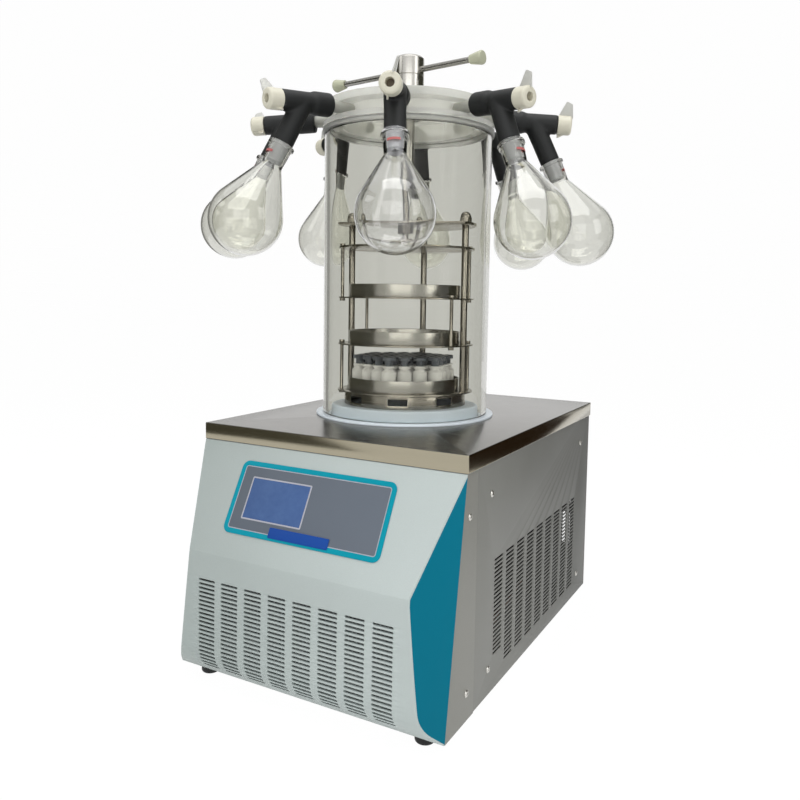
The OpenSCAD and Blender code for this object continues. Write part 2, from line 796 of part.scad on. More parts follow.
module condenser() {
    fin = 1.2;
    gap = 5.6;
    color("lightgray") in_cabinet() translate([-cond_w / 2, pan_front + cond_gap, pan_z]) linear_extrude(cond_h) difference() {
        square([cond_w, cond_deep]);
        for (i = [0 : floor((cond_w - 8) / gap) - 1], s = [0, 1])
            translate([4 + i * gap, s == 0 ? -1 : cond_deep / 2 + 1]) square([gap - fin, cond_deep / 2]);
    }
}

module fan_motor() {
    color("gray") in_cabinet() {
        translate([0, fan_y + 18, fan_z]) rotate([-90, 0, 0]) difference() {
            cylinder(h = 36, r = 28);
            translate([0, 0, -1]) cylinder(h = 10, r = 3 + run_gap);
        }
        difference() {
            translate([-20, fan_y + 26, pan_z]) cube([40, 14, fan_z - pan_z]);
            translate([0, fan_y, fan_z]) rotate([-90, 0, 0]) cylinder(h = 80, r = 27);
        }
    }
}

module fan_blades() {
    color("black") in_cabinet() translate([0, fan_y, fan_z]) rotate([-90, 0, 0]) {
        cylinder(h = 16, r = 14);
        translate([0, 0, 15]) cylinder(h = 10, r = 3);
        for (a = [0 : 72 : 288]) rotate([0, 0, a]) translate([12, 0, 8]) rotate([28, 0, 0])
            translate([0, -14, -1]) cube([fan_r - 13, 28, 2]);
    }
}

// Suction line from the coil's top into the compressor, hot line from the compressor's side to the
// condenser, and liquid line with its drier from the condenser to the coil's lower end
module refrigerant_lines() {
    out_x = drum_x + coil_r;
    out_y = drum_y + pipe_lead + 0.3;
    in_y = drum_y - pipe_lead - 0.3;
    shell_top = pan_z + comp_lift + comp_h - 10 + 0.3;
    hot_x = comp_x + 20;
    hot_y = comp_y - sqrt(comp_r * comp_r - 20 * 20) - 0.6;
    cond_y = pan_front + cond_gap + cond_deep + 0.3;
    cond_x = cond_w / 2 - 6;
    color("peru") in_cabinet() {
        swept_tube([[out_x, out_y, coil_top], [out_x + 1, out_y + 10, coil_top],
            [out_x + 6, out_y + 24, coil_top + 2], [comp_x - 26, comp_y - 14, coil_top],
            [comp_x - 20, comp_y - 6, coil_top - 8], [comp_x - 20, comp_y - 4, shell_top + 12],
            [comp_x - 20, comp_y - 4, shell_top]], copper_r, pipe_sides);
        swept_tube([[hot_x, hot_y, 60], [hot_x, hot_y - 14, 58], [hot_x + 2, 280, 46], [hot_x + 2, 120, 36],
            [hot_x, 40, 36], [cond_x + 2, 6, 44], [cond_x, cond_y + 8, 56], [cond_x, cond_y, 58]],
            copper_r - 1, pipe_sides);
        swept_tube([[cond_x, cond_y, 112], [cond_x, cond_y + 10, 113], [cond_x - 2, 24, 124],
            [cond_x - 8, 60, coil_z - 6], [cond_x - 24, in_y - 24, coil_z], [out_x + 12, in_y - 14, coil_z],
            [out_x + 2, in_y - 8, coil_z], [out_x, in_y, coil_z]], copper_r - 1, pipe_sides);
        translate([hot_x + 2, 240, 43.5]) rotate([93.5, 0, 0]) cylinder(h = 80, r = 9);
    }
}

module control_board() {
    color("seagreen") in_cabinet() on_slope() {
        slope_rect(-screen_left - 6, panel_right - 10, screen_top - 12, screen_bottom + 12, 2, -18, -16.4);
        for (x = [-screen_left, panel_right - 16], s = [screen_top - 6, screen_bottom + 6])
            translate([x, -s, -16.5]) cylinder(h = 16.5 - cover_t - 0.2, r = 2.6);
    }
}

// ---- Back fittings ----

module power_inlet() {
    color("black") in_cabinet() translate([-inlet_x, back_y, inlet_z]) difference() {
        union() {
            translate([-25, 0, -14]) cube([50, 3, 28]);
            translate([-13.6, -22, -11.6]) cube([27.2, 22 + eps, 23.2]);
        }
        translate([-11, -16, -8]) cube([22, 30, 16]);
    }
}

module power_switch() {
    color("firebrick") in_cabinet() translate([-inlet_x + switch_x, back_y - 1, inlet_z]) rotate([0, 90, 0])
        intersection() {
            translate([0, 0, -switch_w / 2]) cylinder(h = switch_w, r = 9.5);
            translate([-9.4, -6, -6]) cube([18.8, 15, 12]);
        }
}

module vacuum_port() {
    color("silver") in_cabinet() translate([drum_x, back_y, vac_z]) rotate([-90, 0, 0]) difference() {
        union() {
            cylinder(h = vac_out, r = vac_r);
            cylinder(h = 2, r = vac_r + 8);
            translate([0, 0, drum_y + stub_l + 0.2 - back_y]) cylinder(h = back_y - drum_y - stub_l, r = vac_r);
            translate([0, 0, vac_out - 8]) cylinder(h = 3, r1 = vac_r, r2 = vac_flange_r);
            translate([0, 0, vac_out - 5]) cylinder(h = 5, r = vac_flange_r);
        }
        translate([0, 0, -far]) cylinder(h = 2 * far, r = vac_bore_r);
        translate([0, 0, vac_out - vac_seat_l]) cylinder(h = far, r = vac_bore_r + 1);
    }
}

module drain_valve() {
    reach = back_y - drum_y - drain_stub - 0.3;
    color("goldenrod") in_cabinet() translate([-drain_x, back_y, drain_z]) {
        rotate([-90, 0, 0]) difference() {
            union() {
                translate([0, 0, -reach]) cylinder(h = reach + drain_out - 15, r = drain_r);
                cylinder(h = 16, r = 11);
                translate([0, 0, drain_out - 16]) cylinder(h = 16, r = drain_r - 1);
            }
            translate([0, 0, -reach - 1]) cylinder(h = reach + 60, r = 3);
        }
        translate([0, 8, 0]) tube(5, lever_r + run_gap, 15);
    }
}

module drain_lever() {
    color("red") in_cabinet() translate([-drain_x, back_y + 8, drain_z]) {
        translate([0, 0, 12]) cylinder(h = 6, r = lever_r);
        translate([0, 0, 15.4]) cylinder(h = 3, r = 6.5);
        translate([0, -4, 15.4]) cube([42, 8, 3]);
    }
}

// ---- Drum and lid ----

module base_gasket() {
    color("aliceblue") at_drum(top_z) tube(drum_r + base_ring_lip, drum_in - base_ring_in, base_ring_t);
}

module drum() {
    color("lightblue", 0.3) at_drum(drum_z) tube(drum_r, drum_in, drum_top - drum_z);
}

module lid_gasket() {
    color("black") at_drum(drum_top) tube(lid_d / 2, drum_in - 2, lid_ring_t);
}

module lid() {
    color("lightblue", 0.3) at_drum() difference() {
        union() {
            translate([0, 0, lid_z]) tube(lid_d / 2, ring_r, flange_t);
            translate([0, 0, flange_top - eps]) tube(ring_r + ring_wall, ring_r, spool_gap + 2 * eps);
            translate([0, 0, disc_z]) tube(cap_disc_r, bush_r + 0.1, cap_disc_t);
        }
        translate([0, 0, port_z]) for (a = port_angles) rotate([0, 0, a]) rotate([0, 90, 0])
            cylinder(h = ring_r + ring_wall + 10, r = nipple_r + 0.05);
    }
}

module port_nipples() {
    color("aliceblue") at_drum(port_z) for (a = port_angles) rotate([0, 0, a]) translate([ring_r, 0, 0])
        rotate([0, 90, 0]) tube(nipple_r, nipple_bore, nipple_end - ring_r);
}

// ---- Flask valves and flasks ----

// Children on the tube of one valve, which hangs a little where it sits on its port
module at_valve(i) {
    at_drum(port_z) rotate([0, 0, port_angles[i]]) translate([valve_in, 0, 0]) rotate([0, valve_droop, 0])
        translate([-valve_in, 0, 0]) children();
}

// Children on the branch of one valve, along Z
module at_branch(i) {
    at_valve(i) rotate([valve_turns[i], 0, 0]) translate([branch_at, 0, 0]) rotate([0, 90 + branch_slope, 0])
        children();
}

module valve_bodies() {
    color("black") for (i = [0 : ports - 1]) difference() {
        union() {
            at_valve(i) translate([valve_in, 0, 0]) rotate([0, 90, 0]) {
                cylinder(h = valve_out - valve_in, r = valve_r);
                cylinder(h = collar_l - 2, r = collar_r);
            }
            at_branch(i) cylinder(h = branch_l - cone_gap, r = branch_r);
        }
        at_valve(i) translate([valve_in - 1, 0, 0]) rotate([0, 90, 0]) {
            cylinder(h = valve_out - valve_in + 2, r = valve_bore);
            cylinder(h = nipple_end - valve_in + 2.5, r = valve_bore + mouth_gap);
        }
        at_branch(i) {
            cylinder(h = branch_l + 10, r = branch_bore);
            translate([0, 0, branch_l - stem_l - 1]) cylinder(h = stem_l + 2, r = stem_r + cone_gap);
        }
    }
}

module flasks() {
    color("lightcyan", 0.4) for (i = [0 : ports - 1]) at_branch(i) translate([0, 0, branch_l]) {
        flask();
        ground_cone();
    }
}

// Hollow glass cone between a branch and its flask; its stem is held in the branch
module ground_cone() {
    rotate_extrude() polygon([[branch_bore, -stem_l], [stem_r, -stem_l], [stem_r, 0], [cone_r, 0],
        [cone_tip_r, cone_l], [branch_bore, cone_l]]);
}

// How far a flask's straight side leans out from its axis, from a point at radius r a length l above the
// middle of a ball of radius b
function side_lean(r, l, b) = asin(b / norm([r, l])) - atan2(r, l);

// Pear-shaped flask, its rim at the origin and its ball along Z
module flask() {
    cone_in = ball_s - neck_l;
    inner_r = ball_r - glass_t;
    inner_low = neck_low_r - glass_t;
    rotate_extrude() polygon(concat(
        [[cone_r + cone_gap, 0], [bead_r - 1.5, 0]],
        arc_points([bead_r - 1.5, 1.5], 1.5, -90, 0, 3),
        arc_points([bead_r - 1.5, bead_h - 1.5], 1.5, 0, 90, 3),
        [[neck_r, bead_h], [neck_low_r, neck_l]],
        arc_points([0, ball_s], ball_r, -side_lean(neck_low_r, cone_in, ball_r), 90, 30),
        [[0, ball_s + inner_r]],
        arc_points([0, ball_s], inner_r, 89, -side_lean(inner_low, cone_in, inner_r), 30),
        [[inner_low, neck_l], [cone_tip_r + cone_gap, cone_l]]));
}

// Flat fin of a valve cap, drawn from the cap's inner face outwards
module fin(outline) {
    translate([valve_out + cap_gap, fin_t / 2, 0]) rotate([90, 0, 0]) linear_extrude(fin_t) polygon(outline);
}

// Cap of one valve: body with its finger hole, plug in the valve, tall fin and small pointer
module valve_cap(i) {
    reach = valve_out + cap_gap;
    color("ivory") at_valve(i) difference() {
        union() {
            translate([reach, 0, 0]) rotate([0, 90, 0]) rotate_extrude() polygon(concat(
                [[0, 0], [valve_r, 0]], arc_points([valve_r - 4, cap_l - 4], 4, 0, 90, 5), [[0, cap_l]]));
            translate([valve_out - plug_l, 0, 0]) rotate([0, 90, 0])
                cylinder(h = plug_l + 2, r = valve_bore - plug_gap);
            rotate([cap_turns[i], 0, 0]) {
                fin([[0.6, 8], [0.6, valve_r], [cap_l / 2, fin_h], [cap_l - 1, fin_h - 4], [cap_l + 1.5, 10],
                    [cap_l - 3, 8]]);
                fin([[0.6, -8], [0.6, -valve_r - 4.4], [3.4, -valve_r - 3.6], [cap_l - 2, -9], [cap_l - 3, -8]]);
            }
        }
        translate([reach + cap_l - 12, 0, 0]) rotate([0, 90, 0]) cylinder(h = 20, r = 5.75);
    }
}

module valve_cap_1() { valve_cap(0); }
module valve_cap_2() { valve_cap(1); }
module valve_cap_3() { valve_cap(2); }
module valve_cap_4() { valve_cap(3); }
module valve_cap_5() { valve_cap(4); }
module valve_cap_6() { valve_cap(5); }
module valve_cap_7() { valve_cap(6); }
module valve_cap_8() { valve_cap(7); }

// ---- Press ----

module press_boss() {
    color("silver") at_drum() difference() {
        union() {
            translate([0, 0, disc_z - 12]) cylinder(h = 12 - 0.05, r = bush_nut_r);
            translate([0, 0, disc_z - 1]) cylinder(h = cap_disc_t + 2, r = bush_r);
            translate([0, 0, lid_top]) cylinder(h = boss_t, r = boss_r);
        }
        translate([0, 0, disc_z - 20]) cylinder(h = 60, r = tube_r + run_gap);
    }
}

module drive_head() {
    color("silver") at_drum() difference() {
        union() {
            translate([0, 0, head_z]) rotate_extrude() polygon([[0, 0], [head_r, 0],
                [head_r, bar_z - head_z - 9], [head_r - 1.2, bar_z - head_z - 8.4],
                [head_r - 1.2, bar_z - head_z - 7.6], [head_r, bar_z - head_z - 7],
                [head_r, head_top - head_z - 3], [head_r - 3, head_top - head_z], [0, head_top - head_z]]);
            translate([0, 0, tube_z]) cylinder(h = head_z - tube_z + 1, r = tube_r);
        }
        translate([0, 0, tube_z - 1]) cylinder(h = socket_l + 1, r = (hex_af + hex_gap) / sqrt(3), $fn = 6);
        translate([0, 0, bar_z]) rotate([0, 0, bar_az]) rotate([0, 90, 0])
            translate([0, 0, -head_r - 5]) cylinder(h = 2 * head_r + 10, r = bar_r + 0.05);
    }
}

module drive_bar() {
    color("silver") at_drum(bar_z) rotate([0, 0, bar_az]) rotate([0, 90, 0])
        translate([0, 0, -bar_slid - bar_half + 8]) cylinder(h = 2 * bar_half - 16, r = bar_r);
}

module bar_knobs() {
    color("ivory") at_drum(bar_z) rotate([0, 0, bar_az]) translate([-bar_slid, 0, 0])
        for (m = [0, 180]) rotate([0, 0, m]) rotate([0, 90, 0]) difference() {
            translate([0, 0, bar_half - knob_l]) rotate_extrude() polygon(concat(
                [[0, 0], [knob_in_r - 0.5, 0], [knob_in_r, 0.5]],
                arc_points([knob_r - 2.5, knob_l - 2.5], 2.5, 0, 90, 5), [[0, knob_l]]));
            translate([0, 0, bar_half - knob_l - 5]) cylinder(h = knob_l - 3, r = bar_r + 0.05);
        }
}

module press_screw() {
    color("silver") at_drum() {
        translate([0, 0, screw_z]) cylinder(h = thread_top - screw_z, r = screw_r);
        translate([0, 0, thread_top - 2]) cylinder(h = hex_l + 4, r = hex_af / sqrt(3), $fn = 6);
    }
}

// ---- Rack ----

module rack_base() {
    color("silver") at_drum(skirt_z) difference() {
        tube(skirt_r, skirt_r - 2, skirt_h);
        for (a = [0 : 45 : 315]) rotate([0, 0, a + 22.5]) translate([skirt_r - 6, -14, 5])
            cube([12, 28, skirt_h - 10]);
    }
}

module rack_posts() {
    color("silver") at_drum() ring_of(post_list, post_circle) {
        translate([0, 0, shelf_3_z]) cylinder(h = shelf_t + 1, r = post_r - 1.5);
        translate([0, 0, shelf_3_top]) cylinder(h = rack_top_z - shelf_3_top, r = post_r);
        translate([0, 0, rack_top_z - 1]) cylinder(h = rack_top_t + 2, r = post_r - 1.5);
        translate([0, 0, rack_top_top]) cylinder(h = 8, r = 9, $fn = 6);
        translate([0, 0, rack_top_top + 7]) rotate_extrude() polygon(concat([[0, 0], [7.6, 0]],
            arc_points([0, 2], 7.6, 0, 90, 6)));
    }
}

module rack_top() {
    color("silver") at_drum() difference() {
        union() {
            translate([0, 0, rack_top_z]) cylinder(h = rack_top_t, r = rack_top_r);
            translate([0, 0, rack_top_z - nut_drop]) cylinder(h = nut_drop + 1, r = cup_r);
        }
        translate([0, 0, rack_top_z - nut_drop - 1]) cylinder(h = 60, r = screw_r + run_gap);
        rotate([0, 0, front_az]) translate([rack_chord, -far / 2, rack_top_z - 1]) cube([far, far, rack_top_t + 2]);
        translate([0, 0, rack_top_z - 1]) ring_of(post_list, post_circle)
            cylinder(h = rack_top_t + 2, r = post_r - 1.4);
    }
}

// Round plate of the rack with holes for the posts and for the rods that slide through it
module rack_plate(z, t, hole, rod_holes) {
    translate([0, 0, z]) difference() {
        cylinder(h = t, r = shelf_r);
        translate([0, 0, -1]) {
            ring_of(post_list, post_circle) cylinder(h = t + 2, r = hole);
            ring_of(rod_holes, rod_circle) cylinder(h = t + 2, r = rod_r + post_gap);
        }
    }
}

// Link rods fixed in a plate at z, reaching up through the next plate, whose top is at z_up
module link_rods(z, t, angles, z_up) {
    ring_of(angles, rod_circle) {
        translate([0, 0, z - 4]) cylinder(h = 4 + eps, r = rod_head_r);
        translate([0, 0, z + t - eps]) cylinder(h = z_up - z - t + 1, r = rod_r);
        translate([0, 0, z_up + 0.2]) cylinder(h = rod_head_h, r = rod_head_r);
    }
}

rods_a = [rod_az, rod_az + 180];
rods_b = [rod_az_2, rod_az_2 + 180];

module press_plate() {
    color("silver") at_drum() difference() {
        union() {
            rack_plate(press_z, press_t, post_r + post_gap, rods_a);
            translate([0, 0, press_top - eps]) cylinder(h = cup_h, r = cup_r);
        }
        translate([0, 0, press_top]) cylinder(h = cup_h + 5, r = screw_r + run_gap);
    }
}

module shelf_1() {
    z = shelf_1_top - shelf_t;
    color("silver") at_drum() {
        rack_plate(z, shelf_t, post_r + post_gap, rods_b);
        link_rods(z, shelf_t, rods_a, press_top);
    }
}

module shelf_2() {
    z = shelf_2_top - shelf_t;
    color("silver") at_drum() {
        rack_plate(z, shelf_t, post_r + post_gap, rods_a);
        link_rods(z, shelf_t, rods_b, shelf_1_top);
    }
}

module shelf_3() {
    color("silver") at_drum() {
        rack_plate(shelf_3_z, shelf_t, post_r - 1.4, []);
        link_rods(shelf_3_z, shelf_t, rods_a, shelf_2_top);
    }
}

module at_tray(z) {
    at_drum(z) rotate([0, 0, front_az]) translate([tray_off, 0, 0]) children();
}

module tray(z) {
    color("silver") at_tray(z) difference() {
        cylinder(h = tray_h, r = tray_r);
        translate([0, 0, tray_t]) cylinder(h = tray_h, r = tray_r - tray_t);
    }
}

module tray_1() { tray(shelf_1_top); }
module tray_2() { tray(shelf_2_top); }
module tray_3() { tray(shelf_3_top); }

// Places of the vials: rings round the middle one
vial_list = [for (i = [-vial_rings : vial_rings], j = [-vial_rings : vial_rings]) if (abs(i + j) <= vial_rings)
    [vial_pitch * (i + j / 2), vial_pitch * j * sqrt(3) / 2]];

module vials() {
    neck = vial_r - 4;
    color("lightcyan", 0.4) at_tray(vial_z) for (p = vial_list) translate([p[0], p[1], 0]) rotate_extrude()
        polygon([[0, 0], [vial_r - 0.8, 0], [vial_r, 1], [vial_r, vial_h - 9], [neck, vial_h - 5],
            [neck, vial_h - 3.5], [vial_r - 2, vial_h - 3.5], [vial_r - 2, vial_h], [neck - 1, vial_h],
            [neck - 1, vial_h - 6], [vial_r - 1, vial_h - 10], [vial_r - 1, 1.2], [0, 1.2]]);
}

module stoppers() {
    plug = vial_r - 4 - 1.4;
    color("darkslategray") at_tray(vial_top) for (p = vial_list) translate([p[0], p[1], 0]) rotate_extrude()
        polygon([[0, -3], [plug, -3], [plug, stopper_travel + 0.3], [vial_r - 1.6, stopper_travel + 0.3],
            [vial_r - 1.6, stopper_h - 0.9], [vial_r - 2.4, stopper_h - 0.3], [0, stopper_h - 0.3]]);
}

base_pan();
feet();
side_panel_right();
side_panel_left();
back_panel();
panel_screws();
front_bezel();
side_trims();
panel_frame();
panel_face();
display();
label_plate();
top_plate();
cold_trap();
trap_collar();
trap_insulation();
evaporator_coil();
compressor();
condenser();
fan_motor();
fan_blades();
refrigerant_lines();
control_board();
power_inlet();
power_switch();
vacuum_port();
drain_valve();
drain_lever();
base_gasket();
drum();
lid_gasket();
lid();
port_nipples();
press_boss();
drive_head();
drive_bar();
bar_knobs();
press_screw();
rack_base();
rack_posts();
rack_top();
press_plate();
shelf_1();
shelf_2();
shelf_3();
tray_1();
tray_2();
tray_3();
vials();
stoppers();
valve_bodies();
flasks();
valve_cap_1();
valve_cap_2();
valve_cap_3();
valve_cap_4();
valve_cap_5();
valve_cap_6();
valve_cap_7();
valve_cap_8();
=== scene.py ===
# %% [markdown]
# # Dressing a bench freeze dryer
# A freeze dryer is a steel cabinet with a cold trap inside, a clear drum on its top, rubber valves that hold
# glass flasks, and a rack of shelves for vials. The solid model gives every part's place and size. This
# lesson keeps that model as a fixed frame and builds the surfaces that one sees around it.

# %% Load the solid model as a fixed frame
import json
import math

import bmesh
import bpy
from mathutils import Matrix, Vector


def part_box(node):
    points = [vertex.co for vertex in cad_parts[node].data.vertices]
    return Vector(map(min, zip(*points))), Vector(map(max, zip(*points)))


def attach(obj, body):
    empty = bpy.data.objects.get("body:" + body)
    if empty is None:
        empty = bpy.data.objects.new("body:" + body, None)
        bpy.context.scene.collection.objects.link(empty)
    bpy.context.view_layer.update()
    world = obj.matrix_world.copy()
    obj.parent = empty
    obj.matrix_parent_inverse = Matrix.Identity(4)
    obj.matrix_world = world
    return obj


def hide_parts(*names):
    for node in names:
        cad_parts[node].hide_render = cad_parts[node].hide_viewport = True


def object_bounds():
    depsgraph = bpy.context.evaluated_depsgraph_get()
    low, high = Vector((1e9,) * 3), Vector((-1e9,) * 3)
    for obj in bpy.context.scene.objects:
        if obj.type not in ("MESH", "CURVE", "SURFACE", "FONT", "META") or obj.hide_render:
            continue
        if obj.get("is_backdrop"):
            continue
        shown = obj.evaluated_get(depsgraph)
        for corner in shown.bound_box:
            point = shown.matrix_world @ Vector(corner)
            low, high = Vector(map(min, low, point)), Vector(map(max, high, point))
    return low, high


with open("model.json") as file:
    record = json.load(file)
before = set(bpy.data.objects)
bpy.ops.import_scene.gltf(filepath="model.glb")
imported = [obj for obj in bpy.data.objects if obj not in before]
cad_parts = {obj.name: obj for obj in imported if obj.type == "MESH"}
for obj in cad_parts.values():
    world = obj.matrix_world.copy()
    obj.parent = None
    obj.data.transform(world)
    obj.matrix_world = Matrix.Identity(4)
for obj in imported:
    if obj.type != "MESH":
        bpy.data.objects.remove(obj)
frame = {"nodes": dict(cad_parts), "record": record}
cad_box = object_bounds()
nodes = frame["nodes"]

# %% [markdown]
# ## Units and the main sizes
# The frame is in metres. A maker thinks in millimetres, so the outlines below are written in millimetres and
# scaled once, when a mesh is finished. Sizes that the frame already knows are measured from it.

# %% Measure the driving sizes
MM = 0.001


def span(node, axis):
    """Lowest and highest value of a solid along one axis, in millimetres."""
    low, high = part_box(node)
    return low[axis] / MM, high[axis] / MM


cab_left, cab_right = span("top_plate", 0)
cab_front, cab_back = span("top_plate", 1)
lip_z, top_z = span("top_plate", 2)
cab_x = (cab_left + cab_right) / 2
cab_y = cab_front
drum_r = span("drum", 0)[1]
drum_low, drum_top = span("drum", 2)
print(f"cabinet {cab_right - cab_left:.0f} x {cab_back - cab_front:.0f} mm, top at {top_z:.0f} mm")
print(f"drum {2 * drum_r:.0f} mm across, {drum_low:.0f} to {drum_top:.0f} mm high")

# %% [markdown]
# ## Camera
# The camera looks down a little from the front right. Its place and turn are plain numbers: a yaw round the
# machine, a small pitch and a slight roll. A small lens shift frames the tall drum without tilting it.

# %% Place the camera
CAMERA_YAW, CAMERA_PITCH, CAMERA_ROLL = 28.24, 4.58, 0.94
CAMERA_PLACE = (0.5623, -1.0117, 0.5170)
CAMERA_LENS, SENSOR = 34.07, 36.0
CAMERA_SHIFT = (-0.0205, -0.0569)


def camera_axes(yaw, pitch, roll):
    """Right, up and back vectors of a camera that is turned, tipped down and rolled."""
    y, p, r = (math.radians(a) for a in (yaw, pitch, roll))
    back = Vector((math.sin(y) * math.cos(p), -math.cos(y) * math.cos(p), math.sin(p)))
    right = Vector((0, 0, 1)).cross(back).normalized()
    up = back.cross(right)
    return (
        math.cos(r) * right + math.sin(r) * up,
        -math.sin(r) * right + math.cos(r) * up,
        back,
    )


right, up, back = camera_axes(CAMERA_YAW, CAMERA_PITCH, CAMERA_ROLL)
lens = bpy.data.cameras.new("camera")
lens.lens = CAMERA_LENS
lens.sensor_width = SENSOR
lens.shift_x, lens.shift_y = CAMERA_SHIFT
lens.clip_start = 0.05
camera = bpy.data.objects.new("camera", lens)
turn = Matrix((right, up, back)).transposed().to_4x4()
camera.matrix_world = Matrix.Translation(CAMERA_PLACE) @ turn
bpy.context.collection.objects.link(camera)
bpy.context.scene.camera = camera
print("camera at", CAMERA_PLACE)

# %% [markdown]
# ## Light
# Soft studio light comes from large cards: one above, one at each side, and one in front. The world is a pale
# grey that reads as white to the camera and to mirrors, and as a light grey through glass. A few dark cards,
# which only polished surfaces show, give steel its edges.

# %% Lamps and world
STUDIO = [
    # name, size (m), power (W), place (m), aim (m)
    ("lamp_above", (1.6, 1.2), 16, (0.2, -0.3, 2.2), (0, 0.1, 0.4)),
    ("lamp_left", (1.0, 1.4), 7, (-1.5, -1.3, 1.1), (0, -0.1, 0.4)),
    ("lamp_right", (0.7, 1.2), 5, (1.7, -0.2, 1.0), (0, 0.1, 0.35)),
    ("lamp_front", (1.4, 1.0), 6, (0.62, -1.60, 0.85), (0.05, -0.3, 0.3)),
]
for name, size, power, place, aim in STUDIO:
    lamp = bpy.data.lights.new(name, "AREA")
    lamp.shape = "RECTANGLE"
    lamp.size, lamp.size_y = size
    lamp.energy = power
    obj = bpy.data.objects.new(name, lamp)
    obj.location = place
    obj.rotation_euler = (Vector(aim) - Vector(place)).to_track_quat("-Z", "Y").to_euler()
    bpy.context.collection.objects.link(obj)
    print(name, power, "W")


def wire(tree, kind, inputs=None, **settings):
    """Adds a node, sets its settings, and gives each named input a value or another node's output."""
    made = tree.nodes.new(kind)
    for key, value in settings.items():
        setattr(made, key, value)
    for key, value in (inputs or {}).items():
        socket = made.inputs[key]
        if isinstance(value, bpy.types.NodeSocket):
            tree.links.new(value, socket)
        else:
            socket.default_value = value
    return made


def maths(tree, operation, *values):
    """Output of a math node that works on numbers or other nodes' outputs."""
    return wire(tree, "ShaderNodeMath", dict(enumerate(values)), operation=operation).outputs[0]


def bare_material(name):
    """A material and its node tree, with no nodes in it yet."""
    made = bpy.data.materials.new(name)
    made.use_nodes = True
    made.node_tree.nodes.clear()
    return made, made.node_tree


WORLD_TINT, WORLD_LIGHT = (0.80, 0.81, 0.80, 1), 0.55
BEHIND_GLASS = 0.70  # the background is this bright behind glass, so that clear flasks stand out from it
THROUGH_GLASS = 1.45  # light that reaches parts inside the drum, which lamps alone can't light through it


def glass_light(tree, path, plain_strength):
    """Strength of the background: plain, weaker where glass shows it, stronger where it lights the inside."""
    bounced = maths(tree, "GREATER_THAN", path.outputs["Diffuse Depth"], 0.5)
    change = maths(tree, "MULTIPLY_ADD", bounced, THROUGH_GLASS - BEHIND_GLASS, BEHIND_GLASS - 1)
    return maths(tree, "MULTIPLY_ADD", path.outputs["Is Transmission Ray"], change, plain_strength)


def seen(tree, path):
    """1 for what the camera sees by itself, in a mirror or through glass, 0 for what only gives light."""
    indirect = maths(tree, "MAXIMUM", path.outputs["Is Glossy Ray"], path.outputs["Is Transmission Ray"])
    return maths(tree, "MAXIMUM", path.outputs["Is Camera Ray"], indirect)


world = bpy.data.worlds.new("studio")
bpy.context.scene.world = world
world.use_nodes = True
sky = world.node_tree
sky.nodes.clear()
path = wire(sky, "ShaderNodeLightPath")
plain = wire(sky, "ShaderNodeBackground", {"Color": WORLD_TINT, "Strength": WORLD_LIGHT})
white = wire(sky, "ShaderNodeBackground", {"Color": (1, 1, 1, 1), "Strength": glass_light(sky, path, 1.0)})
both = wire(sky, "ShaderNodeMixShader", {0: seen(sky, path), 1: plain.outputs[0], 2: white.outputs[0]})
wire(sky, "ShaderNodeOutputWorld", {"Surface": both.outputs[0]})
bpy.context.scene.view_settings.view_transform = "Standard"

# %% [markdown]
# Polished steel and glass look like what stands round them. Dark curved cards stand at the sides of the
# machine, out of the picture, and give steel its dark edges. A low brown card faces the cabinet's right side,
# and a narrow one draws the thin line that runs down polished steel. Light that has only passed through
# glass goes through the cards, so that they never darken a view through the drum.

# %% Cards that steel and glass show
CARDS = [
    # name, distance (m), first and last angle round the machine (degrees), low and high edge (m), colour
    ("card_left", 1.9, 148, 240, -0.2, 2.3, (0.075, 0.073, 0.055)),
    ("card_right", 1.9, -4, 64, -0.2, 2.3, (0.049, 0.049, 0.035)),
    ("card_far_right", 1.9, 64, 76, 0.2, 2.3, (0.049, 0.049, 0.035)),
    ("card_low_right", 0.95, 25, 65, 0.0, 0.42, (0.024, 0.014, 0.007)),
    ("card_line", 2.6, -65.1, -63.9, -0.1, 1.7, (0.16, 0.10, 0.09)),
]
CARD_STEPS = 24
GLASS_PASSES = 0.35  # share of a card that is left out for light mirrored inside glass
for name, far, first, last, low, high, tint in CARDS:
    card_mesh = bpy.data.meshes.new(name)
    turns = [math.radians(first + (last - first) * k / CARD_STEPS) for k in range(CARD_STEPS + 1)]
    points = [(far * math.cos(a), far * math.sin(a), z) for a in turns for z in (low, high)]
    card_mesh.from_pydata(points, [], [(2 * k, 2 * k + 1, 2 * k + 3, 2 * k + 2) for k in range(CARD_STEPS)])
    paint, tree = bare_material(name)
    cloth = wire(tree, "ShaderNodeTexNoise", {"Scale": 3.0, "Detail": 2.0})
    dim = wire(tree, "ShaderNodeMix", {"Factor": cloth.outputs["Fac"], 6: (*tint, 1),
                                       7: (*(1.3 * c for c in tint), 1)}, data_type="RGBA")
    glow = wire(tree, "ShaderNodeEmission", {"Color": dim.outputs[2], "Strength": 1.0})
    path = wire(tree, "ShaderNodeLightPath")
    mirrored = maths(tree, "GREATER_THAN", path.outputs["Glossy Depth"], 0.5)
    in_glass = maths(tree, "COMPARE", path.outputs["Transmission Depth"], 2.0, 1.1)
    shown = maths(tree, "MULTIPLY", mirrored, maths(tree, "MULTIPLY_ADD", in_glass, -GLASS_PASSES, 1.0))
    nothing = wire(tree, "ShaderNodeBsdfTransparent")
    shade = wire(tree, "ShaderNodeMixShader", {0: shown, 1: nothing.outputs[0], 2: glow.outputs[0]})
    wire(tree, "ShaderNodeOutputMaterial", {"Surface": shade.outputs[0]})
    card_mesh.materials.append(paint)
    card = bpy.data.objects.new(name, card_mesh)
    card.visible_camera = False
    card.visible_diffuse = False
    card.visible_shadow = False
    bpy.context.collection.objects.link(card)
    card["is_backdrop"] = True
print("cards:", len(CARDS))

